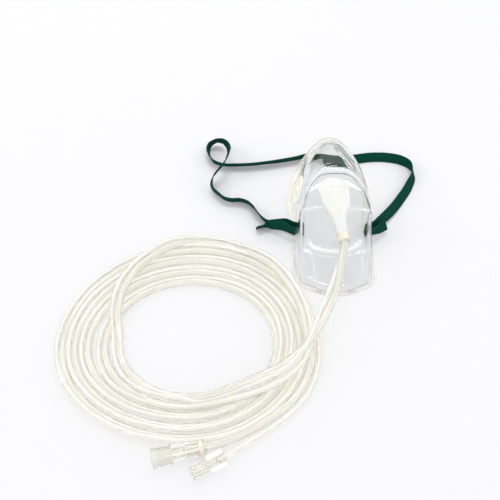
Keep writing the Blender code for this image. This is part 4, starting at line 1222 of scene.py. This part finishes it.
@dataclass(frozen=True)
class TubeConnector:
    """The domed connector on the facet, and the yellow ring over its spigot.

    Args:
        matrix: Its place, with Z out of the facet and -Y along the tubes.
        radius: Of the round head, seen from above.
        height: Of the head.
        standoff: Gap between the facet and the head.
        arcs: Radii of the faint moulded arcs on the head.
        arc_height: How far they stand out.
        arc_width: Half of their width.
        arc_end: Where along Y they end.
        head_power: Power of the head's ovals, see ovals.
        neck_from: Share of the head's radius at which the neck starts.
        neck_share: Share of the neck's length over which it narrows.
        tube_above: Height of the tube's middle over the facet.
        spigot_start: Distance of the spigot from the head's middle.
        spigot_length: Its length.
        spigot_power: Power of its ovals.
        socket_wall: Wall round the sockets.
        socket_web: Wall between the two sockets.
        snap_rim: How far the flange under the shell stands out past the port.
        snap_thickness: Of that flange.
        ring_thickness: Of the yellow ring.
        steps: Number of points round it.
    """

    matrix: Matrix
    radius: float = 13.0
    height: float = 8.0
    standoff: float = 1.1
    arcs: tuple = (4.0, 6.5, 9.0)
    arc_height: float = 0.7
    arc_width: float = 0.5
    arc_end: float = -3.0
    head_power: float = 2.5
    neck_from: float = 0.55
    neck_share: float = 0.78
    tube_above: float = 3.4
    spigot_start: float = 40.7
    spigot_length: float = 6.0
    spigot_power: float = 2.2
    socket_wall: float = 0.6
    socket_web: float = 0.6
    snap_rim: float = 1.4
    snap_thickness: float = 1.3
    ring_thickness: float = 0.8
    steps: int = 72

    @property
    def end(self) -> float:
        """Distance of the spigot's end from the head's middle."""
        return self.spigot_start + self.spigot_length

    @property
    def line_above(self) -> float:
        """Height of the sampling line's middle over the facet."""
        return self.tube_above - TUBE / 2 - LINE / 2 - 2 * SOCKET_CLEARANCE - self.socket_web

    def spigot(self) -> Triple:
        """Half-width, middle height and half-height of the spigot."""
        high = self.tube_above + TUBE / 2 + SOCKET_CLEARANCE + self.socket_wall
        low = self.line_above - LINE / 2 - SOCKET_CLEARANCE - self.socket_wall
        return TUBE / 2 + SOCKET_CLEARANCE + self.socket_wall, (high + low) / 2, (high - low) / 2

    def ovals(self, rows: Sequence) -> np.ndarray:
        """Sections across the tubes, each an oval whose two coordinates are powers of a cosine and a sine.

        Args:
            rows: Distance, half-width, middle height, half-height and power of each. Two is a plain ellipse,
                and more is squarer.

        Returns:
            One ring a row.
        """
        distance, width, middle, tall, power = np.array(rows, float).T[:, :, None]
        cosine, sine = circle(self.steps)
        x = width * np.copysign(np.abs(cosine) ** (2 / power), cosine)
        z = middle + tall * np.copysign(np.abs(sine) ** (2 / power), sine)
        return np.stack([x, np.broadcast_to(-distance, x.shape), z], axis=2)

    def rings(self) -> np.ndarray:
        """Sections from the far edge of the head to the end of the spigot.

        Over the share s of its radius the head is as wide as the root of 1 - s^2 and as high as the root of
        1 - s^2.6. The neck then eases from the head's width a quarter of its radius out to the spigot's.
        """
        half_width, middle, half_height = self.spigot()
        share = np.cos(np.linspace(math.radians(4.0), math.radians(104.5), 28))
        tall = self.height * (1 - np.abs(share) ** 2.6) ** 0.5 / 2
        wide = self.radius * np.sqrt(1 - share**2)
        head = (-share * self.radius, wide, self.standoff + tall, tall, self.head_power)
        share = np.linspace(0.12, 1.0, 24)
        ease, slim = eased(share), eased(np.minimum(share / self.neck_share, 1.0))
        near, start = self.neck_from * self.radius, self.radius * math.sqrt(1 - 0.25**2)
        half, power = self.height / 2, self.spigot_power
        neck = (
            near + share * (self.spigot_start - near),
            start + slim * (half_width + GAP + self.ring_thickness - start),
            self.standoff + half + ease * (middle - self.standoff - half),
            half + ease * (half_height + self.ring_thickness - half),
            self.head_power + share * (power - self.head_power),
        )
        tip = (
            (self.spigot_start + 0.05, half_width, middle, half_height, power),
            (self.end - 0.2, half_width, middle, half_height, power),
            (self.end, half_width - 0.2, middle, half_height - 0.2, power),
        )
        rows = [np.stack(np.broadcast_arrays(*columns), axis=1) for columns in (head, neck)]
        return self.ovals(np.concatenate([*rows, tip]))

    def build(self, milky: bpy.types.Material, yellow: bpy.types.Material) -> list[bpy.types.Object]:
        """The connector's body with its arcs, stud and sockets, and the ring.

        Args:
            milky: The body's material.
            yellow: The ring's material.

        Returns:
            The two pieces.
        """
        points, faces = loft(self.rings())
        from_middle = np.hypot(points[:, 0], points[:, 1])
        waves = sum(np.exp(-(((from_middle - radius) / self.arc_width) ** 2)) for radius in self.arcs)
        on_top = (points[:, 2] > self.standoff + 0.7 * self.height) & (points[:, 1] > self.arc_end)
        points[:, 2] += self.arc_height * waves * on_top
        body = new_piece("connector_body", placed(self.matrix, points), faces, milky, sharp=40.0)
        under = -WALL - 2 * GAP
        for more, sides in (
            rod(PORT_RADIUS - GAP, under - self.snap_thickness / 2, self.height / 2, 48),
            rod(PORT_RADIUS + self.snap_rim, under - self.snap_thickness, under, 48),
        ):
            cut(body, [(placed(self.matrix, more), sides)], "UNION")
        sockets = []
        for diameter, above in ((TUBE, self.tube_above), (LINE, self.line_above)):
            more, sides = rod(diameter / 2 + SOCKET_CLEARANCE, self.end - TUBE_SOCKET, self.end + 5.0)
            along = np.stack([more[:, 0], -more[:, 2], more[:, 1] + above], axis=1)
            sockets.append((placed(self.matrix, along), sides))
        cut(body, sockets)
        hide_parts("tube_connector")
        return [body, self.build_ring(yellow)]

    def build_ring(self, material: bpy.types.Material) -> bpy.types.Object:
        """The ring over the spigot: the spigot's oval, grown to a section with rounded edges.

        Args:
            material: Its material.

        Returns:
            The piece.
        """
        wide, middle, tall = self.spigot()
        low, high, full = self.spigot_start + GAP, self.end, GAP + self.ring_thickness
        section = (
            (low, GAP),
            (low, GAP + 0.55),
            (low + 0.12, GAP + 0.8),
            (low + 0.4, full),
            (high - 0.4, full),
            (high - 0.12, GAP + 0.8),
            (high, GAP + 0.55),
            (high, GAP),
        )
        rings = self.ovals([(at, wide + by, middle, tall + by, self.spigot_power) for at, by in section])
        faces = grid_faces(len(section), self.steps, True, True).tolist()
        points = placed(self.matrix, rings.reshape(-1, 3))
        piece = new_piece("yellow_cuff", points, faces, material, sharp=50.0)
        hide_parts("connector_ring")
        return piece

    def socket_route(self, above: float) -> list[tuple]:
        """Points from the bottom of a socket to just past its mouth, at a height over the facet."""
        distances = (self.end - TUBE_SOCKET + GAP, self.end, self.end + 4.0)
        return [tuple(self.matrix @ Vector((0.0, -distance, above))) for distance in distances]


@dataclass(frozen=True)
class TubingRoutes:
    """The middle lines of the oxygen tube and of the sampling line beside it.

    Args:
        tube: Points of the oxygen tube.
        line: Points of the sampling line.
    """

    tube: np.ndarray
    line: np.ndarray

    @staticmethod
    def line_angle(berth: Berth) -> float:
        """Angle of the line above the tube's side: it lies on the table, or leans up for want of room."""
        sunk = (TUBE - LINE) / 2
        if berth.line**2 + sunk**2 >= TOUCHING**2:
            return math.atan2(-sunk, berth.line)
        return math.acos(min(1.0, berth.line / TOUCHING))

    @classmethod
    def quarter(cls, start: Side, end: Side, first: int, last: int) -> np.ndarray:
        """One quarter of a turn between two berths.

        The tube follows an ellipse whose two half-axes are the berths' reaches. Its height eases from one
        berth's to the other's: early where it climbs, and late where it comes down.

        Args:
            start: The side that it starts at.
            end: The side that it ends at.
            first: Number of its berth there at the start.
            last: Number of its berth at the end.

        Returns:
            Rows of the tube's middle, then the sampling line's offset as a distance and an angle above the
            outward direction.
        """
        a, b = BERTHS[start][first], BERTHS[end][last]
        t = np.linspace(0.0, 1.0, 40)
        end_turn = end.value if end.value < start.value else end.value - 360
        turn = np.radians(np.linspace(start.value, end_turn, len(t)))
        wide, tall = (b.reach, a.reach) if start in (Side.TOP, Side.BOTTOM) else (a.reach, b.reach)
        x = COIL_CENTRE[0] + wide * np.cos(turn)
        y = COIL_CENTRE[1] + tall * np.sin(turn)
        low, high = CLIMB if b.z > a.z else DESCENT
        z = a.z + (b.z - a.z) * eased(np.clip((t - low) / (high - low), 0.0, 1.0))
        angles = [cls.line_angle(berth) for berth in (a, b)]
        offsets = [max(TOUCHING, berth.line / math.cos(angle)) for berth, angle in zip((a, b), angles)]
        offset, angle = (one + (two - one) * eased(t) for one, two in (offsets, angles))
        return np.stack([x, y, z, offset, angle], axis=1)

    @staticmethod
    def crossing(quarter: np.ndarray) -> np.ndarray:
        """The quarter that crosses over the others at the upper left, on its own route.

        Args:
            quarter: The same quarter as if it lay with the others.

        Returns:
            Rows like a quarter's, with the line's offsets kept.
        """
        points = smooth_route(CROSSING_ROUTE, 4.0)
        share, whole = (np.linspace(0.0, 1.0, len(rows)) for rows in (points, quarter))
        offsets = [np.interp(share, whole, quarter[:, column]) for column in (3, 4)]
        return np.column_stack([points, *offsets])

    @classmethod
    def coil(cls) -> np.ndarray:
        """All turns of the coil, as rows like a quarter's."""
        sides = tuple(Side)
        rows = []
        for number, berths in enumerate(TURNS):
            for k in range(3):
                quarter = cls.quarter(sides[k], sides[k + 1], berths[k], berths[k + 1])
                rows.append((cls.crossing(quarter) if (number, k) == CROSSING_AT else quarter)[:-1])
            if number + 1 < len(TURNS):
                rows.append(cls.quarter(Side.RIGHT, Side.BOTTOM, berths[3], TURNS[number + 1][0])[:-1])
        return np.concatenate(rows)

    @staticmethod
    def tail(route: Sequence[Triple], heading: Triple, socket: float) -> np.ndarray:
        """A tail's route on into the socket of its end piece.

        Args:
            route: Its points up to the socket's mouth.
            heading: Where the end piece points.
            socket: The socket's depth.

        Returns:
            Even points.
        """
        mouth, ahead = Vector(route[-1]), Vector(heading).normalized()
        straight = [tuple(mouth + distance * ahead) for distance in (-4.0, 0.0, socket - GAP)]
        return smooth_route([*route[:-1], *straight], TUBE_STEP)

    @classmethod
    def laid(cls, connector: TubeConnector) -> TubingRoutes:
        """Lays both routes whole, from the connector's sockets to those of the end pieces.

        The line winds round the tube on its way down the lead, from under it to beside it on the coil. Its
        middle is the tube's, moved by its offset at its angle between left and up, square to the tube.

        Args:
            connector: What the lead starts from.

        Returns:
            The routes.
        """
        lead = smooth_route([*connector.socket_route(connector.tube_above), *LEAD_ROUTE], TUBE_STEP)
        along = lengths(lead)
        coil = cls.coil()
        marks, turns = zip(*LINE_TURNS)
        turn = np.interp(along, (*marks, along[-1]), (*turns, 180.0 - math.degrees(coil[0, 4])))
        apart = connector.tube_above - connector.line_above
        offset = np.interp(along, (0.0, 40.0), (apart, (TUBE + LINE) / 2 + 0.1))
        head = np.column_stack([lead, offset, np.radians(180.0 - turn)])
        rows = softened(np.concatenate([head[:-1], coil]), SOFTEN)
        middle, offset, angle = rows[:, :3], rows[:, 3:4], rows[:, 4:5]
        ahead = unit(np.gradient(middle, axis=0))
        left = unit(np.cross(UP, ahead))
        line = middle + offset * (np.cos(angle) * left + np.sin(angle) * np.cross(ahead, left))
        whole = []
        for route, tail in (
            (middle, cls.tail(TAIL_TUBE_ROUTE, FUNNEL_HEADING, FUNNEL_SOCKET)),
            (line, cls.tail(TAIL_LINE_ROUTE, LUER_HEADING, TUBE_SOCKET)),
        ):
            fine = resampled(np.concatenate([route[:-TAIL_JOIN], tail]), FINE_STEP)
            whole.append(resampled(softened(fine, SOFTEN), TUBE_STEP))
        return cls(*whole)


@dataclass(frozen=True)
class Tube:
    """One hollow tube swept along its middle line.

    Args:
        path: Its middle line.
        diameter: Across its outside.
        bore: Across its bore.
        sides: Number of points round it.
    """

    path: np.ndarray
    diameter: float
    bore: float
    sides: int

    def build(self, name: str, material: bpy.types.Material) -> bpy.types.Object:
        """The tube's outside and its bore, joined at both ends: a circle square to the path at each point.

        The UVs hold the distance along the tube in metres and the turn round it from 0 to 1.

        Args:
            name: The piece's name.
            material: Its material.

        Returns:
            The piece.
        """
        ahead = unit(np.gradient(self.path, axis=0))
        right = unit(np.cross(ahead, UP))
        cosines, sines = (values[:, None] for values in circle(self.sides))
        ring = cosines * right[:, None] - sines * np.cross(right, ahead)[:, None]
        outside, bore = (self.path[:, None] + across / 2 * ring for across in (self.diameter, self.bore))
        rings = np.concatenate([outside, bore[::-1]])
        faces = grid_faces(len(rings), self.sides, True, True)
        piece = new_piece(name, rings.reshape(-1, 3), faces.tolist(), material)
        along = lengths(self.path) * MM
        u = np.concatenate([along, along[::-1]])[faces // self.sides]
        side = faces[:, :1] % self.sides + np.array([0, 1, 1, 0])
        layer = piece.data.uv_layers.new(name="tube")
        layer.data.foreach_set("uv", np.stack([u, side / self.sides], axis=2).ravel())
        return piece

    def declare(self, nodes: Sequence[str]) -> None:
        """Args:
            nodes: The solids.
        """
        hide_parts(*nodes)


@dataclass(frozen=True)
class EndPiece:
    """What both end pieces share.

    Args:
        matrix: The place at the end of a tail, with Z along the piece.
        rib_highlight: Share of painted highlight on their ribs.
    """

    matrix: Matrix
    rib_highlight: float = 0.6

    @classmethod
    def at_end(cls, route: Sequence[Triple], heading: Triple) -> EndPiece:
        """Puts the piece at a route's end, pointing where it heads."""
        return cls(frame_at(route[-1], heading, UP))

    def bars(self, count: int, low: Triple, high: Triple, phase: float = 0.0) -> list[Body]:
        """Equal bars turned evenly round the piece.

        Args:
            count: Number of bars.
            low: Lowest corner of the first, before it is turned.
            high: Highest corner of the first.
            phase: How many of their spacings all are turned on.

        Returns:
            The bars.
        """
        points, faces = box(low, high)
        turns = [Matrix.Rotation(2 * math.pi * (k + phase) / count, 4, "Z") for k in range(count)]
        return [(placed(self.matrix @ turn, points), faces) for turn in turns]

    def line(self, piece: bpy.types.Object, radius: float, start: float, end: float) -> None:
        """Paints highlight lines on what stands out past a radius.

        Args:
            piece: The piece's object.
            radius: The radius.
            start: Where along the piece this starts.
            end: Where it ends.
        """
        points = np.empty(3 * len(piece.data.vertices))
        piece.data.vertices.foreach_get("co", points)
        points = placed(self.matrix.inverted(), points.reshape(-1, 3) / MM)
        far = np.hypot(points[:, 0], points[:, 1]) > radius
        there = (points[:, 2] > start) & (points[:, 2] < end)
        add_painted_highlights(piece, np.where(far & there, self.rib_highlight, 0.0))


@dataclass(frozen=True)
class FunnelConnector(EndPiece):
    """The oxygen connector with its ribbed body, flared bell and yellow ring.

    Args:
        length: Of the whole connector.
        bell_depth: Length of the bell.
        bell_radius: Outside of the bell.
        bell_bore: Radius of its mouth.
        bell_throat: Radius of its inner end.
        through: Radius of the bore between the bell and the tube's socket.
        body: Radius of the body behind the bell.
        collar: Radius of the collar between them.
        sleeve: Radius of the sleeve round the tube's socket.
        groove: Radius of the groove that the ring sits in.
        ring_start: Where the groove starts.
        ring_length: Its length.
        ring_out: How far the ring stands out of the sleeve.
        flutes: Number of ribs along the body.
        flute_height: How far they stand out.
        flute_half_width: Half of their width.
    """

    length: float = 38.0
    bell_depth: float = 14.0
    bell_radius: float = 6.85
    bell_bore: float = 5.0
    bell_throat: float = 4.3
    through: float = 2.4
    body: float = 5.0
    collar: float = 7.4
    sleeve: float = 5.3
    groove: float = 4.7
    ring_start: float = 2.0
    ring_length: float = 3.2
    ring_out: float = 0.5
    flutes: int = 6
    flute_height: float = 0.6
    flute_half_width: float = 0.8

    def profile(self) -> tuple:
        """Section up the bore and down the outside, as radius and height."""
        length, socket, bell = self.length, FUNNEL_SOCKET, self.length - self.bell_depth
        bore, ring_end = TUBE / 2 + SOCKET_CLEARANCE, self.ring_start + self.ring_length
        return (
            (bore, 0.0),
            (bore, socket),
            (self.through, socket + 0.8),
            (self.through, bell - 0.4),
            (self.bell_throat, bell),
            (self.bell_bore, length - 0.3),
            (self.bell_bore + 0.25, length),
            (self.bell_radius - 0.2, length),
            (self.bell_radius, length - 0.3),
            (self.bell_radius, length - 2.7),
            (self.bell_radius - 0.3, length - 3.1),
            (self.bell_radius - 0.9, bell + 1.4),
            (self.collar - 0.2, bell + 1.2),
            (self.collar, bell + 1.0),
            (self.collar, bell),
            (self.collar - 0.2, bell - 0.2),
            (self.body, bell - 0.4),
            (self.sleeve, ring_end + 1.0),
            (self.sleeve, ring_end),
            (self.groove, ring_end),
            (self.groove, self.ring_start),
            (self.sleeve, self.ring_start),
            (self.sleeve, 0.3),
            (self.sleeve - 0.3, 0.0),
        )

    def build(self, clear: bpy.types.Material, yellow: bpy.types.Material) -> list[bpy.types.Object]:
        """The turned connector with its ribs, and its ring.

        Args:
            clear: The connector's material.
            yellow: The ring's material.

        Returns:
            The two pieces.
        """
        points, faces = turned(self.profile())
        body = new_piece("supply_connector", placed(self.matrix, points), faces, clear, sharp=30.0)
        ring_end, bell = self.ring_start + self.ring_length, self.length - self.bell_depth
        low = (self.groove, -self.flute_half_width, ring_end + 0.5)
        high = (self.body + self.flute_height, self.flute_half_width, bell + 0.5)
        cut(body, self.bars(self.flutes, low, high), "UNION")
        # Painted highlight lines on the flutes and the edge of the collar.
        self.line(body, self.body + 0.35, ring_end, bell - 0.1)
        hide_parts("funnel_connector")
        return [body, self.build_ring(yellow)]

    def build_ring(self, material: bpy.types.Material) -> bpy.types.Object:
        """The ring in its groove, turned from a section with rounded edges.

        Args:
            material: Its material.

        Returns:
            The piece.
        """
        low, high = self.ring_start + GAP, self.ring_start + self.ring_length - GAP
        inner, outer = self.groove + GAP, self.sleeve + self.ring_out
        section = (
            (inner, low),
            (inner, high),
            (outer - 0.35, high),
            (outer - 0.1, high - 0.1),
            (outer, high - 0.35),
            (outer, low + 0.35),
            (outer - 0.1, low + 0.1),
            (outer - 0.35, low),
        )
        points, faces = turned(section)
        ring = new_piece("supply_ring", placed(self.matrix, points), faces, material, sharp=50.0)
        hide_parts("funnel_ring")
        return ring


@dataclass(frozen=True)
class LuerConnector(EndPiece):
    """The Luer lock of the sampling line.

    Args:
        length: From the line's socket to the collar's mouth.
        collar_length: Length of the collar.
        collar: Its radius.
        collar_bore: Radius of its bore.
        nozzle: Radius of the tapered nozzle inside it.
        body: Radius of the body behind it.
        through: Radius of the bore.
        grips: Number of ribs round the collar.
        grip: How far they stand out.
        grip_half_width: Half of their width.
        wing_span: Across both wings.
        wing_length: Their length.
        wing_thickness: Their thickness.
        wing_start: Where along the lock they start.
    """

    length: float = 26.0
    collar_length: float = 11.0
    collar: float = 4.7
    collar_bore: float = 3.9
    nozzle: float = 2.1
    body: float = 2.9
    through: float = 0.9
    grips: int = 12
    grip: float = 0.5
    grip_half_width: float = 0.4
    wing_span: float = 12.8
    wing_length: float = 11.5
    wing_thickness: float = 1.6
    wing_start: float = 1.5

    def profile(self) -> tuple:
        """Section up the bore and down the outside, as radius and height."""
        start, bore = self.length - self.collar_length, LINE / 2 + SOCKET_CLEARANCE
        return (
            (bore, 0.0),
            (bore, TUBE_SOCKET),
            (self.through, TUBE_SOCKET + 0.6),
            (self.through, self.length + 0.8),
            (self.nozzle - 0.25, self.length + 0.8),
            (self.nozzle, start + 2.0),
            (self.collar_bore, start + 2.0),
            (self.collar_bore, self.length),
            (self.collar - 0.2, self.length),
            (self.collar, self.length - 0.3),
            (self.collar, start + 0.6),
            (self.collar - 0.3, start + 0.15),
            (self.collar - 0.8, start),
            (self.body, start - 0.8),
            (self.body, 0.3),
            (self.body - 0.3, 0.0),
        )

    def wings(self) -> list[Body]:
        """The two flat wings at the sides of the body."""
        inner, half = LINE / 2 + SOCKET_CLEARANCE + 0.4, self.wing_thickness / 2
        end = self.wing_start + self.wing_length
        wings = []
        for near, far in ((-self.wing_span / 2, -inner), (inner, self.wing_span / 2)):
            points, faces = box((near, -half, self.wing_start), (far, half, end))
            wings.append((placed(self.matrix, points), faces))
        return wings

    def build(self, clear: bpy.types.Material) -> bpy.types.Object:
        """The turned lock with its grip ribs and wings.

        Args:
            clear: Its material.

        Returns:
            The piece.
        """
        points, faces = turned(self.profile())
        piece = new_piece("sampling_lock", placed(self.matrix, points), faces, clear, sharp=30.0)
        low = (self.collar_bore + 0.3, -self.grip_half_width, self.length - self.collar_length + 1.0)
        high = (self.collar + self.grip, self.grip_half_width, self.length - 1.0)
        cut(piece, self.bars(self.grips, low, high, 0.5) + self.wings(), "UNION")
        # Painted highlight lines on the grips and the wings.
        self.line(piece, self.collar + 0.1, 0.0, self.length)
        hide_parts("luer_connector")
        return piece


@dataclass(frozen=True)
class HeadStrap:
    """The elastic strap, threaded round the bar of each side.

    Args:
        surface: The shell's surface.
        clear: Gap between the strap and the table.
        inside: How much more than GAP it stands off the wall inside the shell.
        rounding: Height of its rounded edges.
        step: Distance of its points.
    """

    surface: MaskSurface
    clear: float = 0.2
    inside: float = 0.85
    rounding: float = 0.35
    step: float = 0.9

    def slot_run(self, side: int) -> list[tuple]:
        """The stretch round one side's bar, from outside the front slot to outside the rear one."""
        middle = (SLOT_FRONT_Y + SLOT_REAR_Y) / 2
        wall = self.surface.wall_x(middle)
        inside = wall - WALL - GAP - STRAP_THICKNESS / 2 - self.inside
        run = (
            (wall + 1.9, SLOT_FRONT_Y + 0.7),
            (wall + 0.4, SLOT_FRONT_Y),
            (wall - WALL - 0.3, SLOT_FRONT_Y),
            (inside, SLOT_FRONT_Y + 1.4),
            (inside, middle),
            (inside, SLOT_REAR_Y - 1.4),
            (wall - WALL - 0.3, SLOT_REAR_Y),
            (wall + 0.4, SLOT_REAR_Y),
            (wall + 1.9, SLOT_REAR_Y + 0.7),
        )
        return [(side * x, y, SLOT_Z, 0.0, 0.0) for x, y in run]

    def route(self) -> list[tuple]:
        """The whole route: right free end, right bar, round the back, left bar and left free end."""
        left = self.slot_run(-1)[::-1]
        return [*STRAP_TAIL_RIGHT, *self.slot_run(1), *STRAP_RIGHT, *left, *STRAP_TAIL_LEFT]

    def build(self, material: bpy.types.Material) -> bpy.types.Object:
        """A ribbon on its edge that leans as it runs, with rounded edges.

        Its section is carried along the route. Up across the band is the route's lean with 1 as its height,
        made square to the route. The UVs hold the millimetres along it and the share of its width.

        Args:
            material: Its material.

        Returns:
            The piece.
        """
        run = smooth_route(self.route(), self.step)
        points = run[:, :3]
        ahead = unit(np.gradient(points, axis=0))
        rise = np.column_stack([run[:, 3:], np.ones(len(run))])
        rise = unit(rise - (rise * ahead).sum(axis=1)[:, None] * ahead)
        side = np.cross(ahead, rise)
        half, tall = STRAP_THICKNESS / 2, STRAP_HEIGHT / 2
        low = tall * rise[:, 2] + half * np.abs(side[:, 2]) + self.clear
        points[:, 2] = np.maximum(points[:, 2], low)
        profile = (
            (half, self.rounding - tall),
            (0.6 * half, -tall),
            (-0.6 * half, -tall),
            (-half, self.rounding - tall),
            (-half, tall - self.rounding),
            (-0.6 * half, tall),
            (0.6 * half, tall),
            (half, tall - self.rounding),
        )
        rings = np.stack([points + across * side + height * rise for across, height in profile], axis=1)
        corners, faces = loft(rings)
        piece = new_piece("elastic_band", corners, faces, material, sharp=60.0)
        index = np.empty(len(piece.data.loops), np.int64)
        piece.data.loops.foreach_get("vertex_index", index)
        heights = np.array([height for _, height in profile]) / STRAP_HEIGHT + 0.5
        uv = np.stack([lengths(points)[index // len(profile)], heights[index % len(profile)]], axis=1)
        layer = piece.data.uv_layers.new(name="band")
        layer.data.foreach_set("uv", uv.ravel())
        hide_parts("head_strap")
        return piece


@dataclass(frozen=True)
class SoftBox:
    """A rectangular light that looks at the middle of the object.

    Args:
        name: Its name.
        at: Its place in metres.
        wide: Its width in metres.
        tall: Its height in metres.
        brightness: As it is seen in a mirror, where the floor's white is 1.
    """

    name: str
    at: Triple
    wide: float
    tall: float
    brightness: float

    def hang(self, aim: Triple) -> None:
        """Adds the light, turned to a point."""
        light = bpy.data.lights.new(self.name, "AREA")
        light.shape = "RECTANGLE"
        light.size, light.size_y = self.wide, self.tall
        light.energy = self.brightness * math.pi * self.wide * self.tall
        lamp = bpy.data.objects.new(self.name, light)
        lamp.location = self.at
        lamp.rotation_euler = (Vector(aim) - Vector(self.at)).to_track_quat("-Z", "Y").to_euler()
        bpy.context.scene.collection.objects.link(lamp)


# Soft boxes at the back, the left and overhead, whose reflections add white lines on clear plastic to the
# painted highlight lines.
SOFT_BOXES = (
    SoftBox("top box", (-0.1, 0.95, 2.35), 1.3, 0.12, 31.0),
    SoftBox("back box", (-0.2, 2.0, 1.5), 0.8, 0.25, 5.0),
    SoftBox("left box", (-2.1, 0.3, 1.3), 0.5, 0.4, 9.0),
    SoftBox("right box", (2.1, 0.6, 1.3), 0.7, 0.35, 4.0),
    SoftBox("front box", (0.0, -1.15, 2.0), 1.6, 0.4, 4.0),
)
# Greys of the studio as clear plastic sees it, by height from level ground to overhead.
GREY_BANDS = ((0.16, 0.12), (0.3, 0.55), (0.55, 0.8), (0.8, 0.5))


@dataclass(frozen=True)
class Studio:
    """Floor, lights, world and camera.

    Args:
        reach: Half of the floor's side in metres.
        aim: What the lights look at, in metres.
        light: Strength of the even light on matt surfaces.
    """

    reach: float = 6.0
    aim: Triple = (-0.06, 0.03, 0.0)
    light: float = 0.8

    def build(self) -> None:
        """Adds them all."""
        self.floor()
        for soft_box in SOFT_BOXES:
            soft_box.hang(self.aim)
        self.world()
        self.camera()

    def floor(self) -> None:
        """A pale matt floor of paper, faintly cloudy."""
        shader = Shader.of_material("Floor paper")
        matt = shader.node("BsdfDiffuse", Color=shader.between(shader.noise(25.0, 2.0), "#e6e6e8", "#e5e5e7"))
        reach = self.reach
        corners = [(-reach, -reach, 0.0), (reach, -reach, 0.0), (reach, reach, 0.0), (-reach, reach, 0.0)]
        mesh = bpy.data.meshes.new("floor")
        mesh.from_pydata(corners, [], [(0, 1, 2, 3)])
        mesh.materials.append(shader.finish(matt.outputs["BSDF"]))
        floor = bpy.data.objects.new("floor", mesh)
        bpy.context.scene.collection.objects.link(floor)

    def world(self) -> None:
        """Even light on matt things, white behind the camera's view, and bands of grey in clear plastic."""
        bpy.context.scene.world = bpy.data.worlds.new("studio")
        shader = Shader(bpy.context.scene.world)
        rays = shader.node("LightPath").outputs
        soft = shader.node("Background", Color=WHITE, Strength=self.light)
        seen = shader.node("Background", Color=WHITE, Strength=1.0)
        way = shader.node("TexCoord").outputs["Generated"]
        height = shader.node("SeparateXYZ", Vector=way).outputs["Z"]
        ramp = shader.node("ValToRGB", Fac=height)
        stops = ramp.color_ramp.elements
        stops[0].position, stops[0].color = 0.0, (0.05, 0.05, 0.055, 1.0)
        stops[1].position, stops[1].color = 1.0, (0.35, 0.36, 0.37, 1.0)
        for place, grey in GREY_BANDS:
            stops.new(place).color = (grey, grey, grey * 1.01, 1.0)
        mirrored = shader.node("Background", Color=ramp.outputs["Color"], Strength=1.0)
        bent = shader.maths("MAXIMUM", rays["Is Glossy Ray"], rays["Is Transmission Ray"])
        lit = shader.node("MixShader", Fac=bent, at1=soft.outputs[0], at2=mirrored.outputs[0])
        shown = shader.node("MixShader", Fac=rays["Is Camera Ray"], at1=lit.outputs[0], at2=seen.outputs[0])
        shader.node("OutputWorld", Surface=shown.outputs[0])

    @staticmethod
    def camera() -> None:
        """The camera as it was fitted to the photograph."""
        lens = bpy.data.cameras.new("camera")
        lens.sensor_width = SENSOR_MM
        lens.lens = SENSOR_MM * FOCAL_SHARE
        lens.clip_start = 0.01
        eye = bpy.data.objects.new("camera", lens)
        eye.location = [MM * c for c in CAMERA_AT]
        level, sink = math.cos(CAMERA_PITCH), math.sin(CAMERA_PITCH)
        ahead = Vector((-math.sin(CAMERA_TURN) * level, math.cos(CAMERA_TURN) * level, -sink))
        eye.rotation_euler = ahead.to_track_quat("-Z", "Y").to_euler()
        bpy.context.scene.collection.objects.link(eye)
        bpy.context.scene.camera = eye


def render_settings() -> None:
    """Colour management and light bounces, with enough of them for many walls of clear plastic."""
    scene = bpy.context.scene
    scene.view_settings.view_transform = "Standard"
    scene.view_settings.look = "None"
    scene.cycles.max_bounces = 24
    scene.cycles.transmission_bounces = 24
    scene.cycles.transparent_max_bounces = 24
    scene.cycles.glossy_bounces = 8
    scene.cycles.diffuse_bounces = 4
    scene.cycles.caustics_reflective = False
    scene.cycles.caustics_refractive = False
    scene.cycles.sample_clamp_indirect = 4.0
    scene.cycles.use_denoising = True


def report(*pieces: bpy.types.Object) -> None:
    """Logs each finished piece with its number of faces."""
    for piece in pieces:
        LOG.info("%s: %d faces", piece.name, len(piece.data.polygons))


def main() -> None:
    """Builds every piece of the dressed mask in order and reports it."""
    surface = MaskSurface.fitted(SHELL_STEP)
    report(MaskShell(surface).build(CLEAR_SHELL.build()))
    report(FaceSeal(surface).build(SEAL.build()))
    silicone = SILICONE.build()
    for side in (-1, 1):
        report(ExhalationVent(surface, side).build(silicone))
    yellow = YELLOW.build()
    connector = TubeConnector(surface.port())
    report(*connector.build(MILKY.build(), yellow))
    report(HeadStrap(surface).build(ELASTIC.build()))
    styrene = CLEAR_STYRENE.build()
    supply = FunnelConnector.at_end(TAIL_TUBE_ROUTE, FUNNEL_HEADING).build(styrene, yellow)
    lock = LuerConnector.at_end(TAIL_LINE_ROUTE, LUER_HEADING).build(styrene)
    report(*supply, lock)
    routes = TubingRoutes.laid(connector)
    tube = Tube(routes.tube, TUBE, TUBE_BORE, 24)
    line = Tube(routes.line, LINE, LINE_BORE, 16)
    oxygen_tube = tube.build("oxygen_tube", TUBING.build())
    sampling_line = line.build("sampling_line", LINE_TUBING.build())
    tube.declare(("oxygen_tube_lead", "tubing_coil", "oxygen_tube_tail"))
    line.declare(("sampling_line_lead", "sampling_line_tail"))
    report(oxygen_tube, sampling_line)
    Studio().build()
    render_settings()


if __name__ == "__main__":
    logging.basicConfig(level=logging.INFO)
    main()
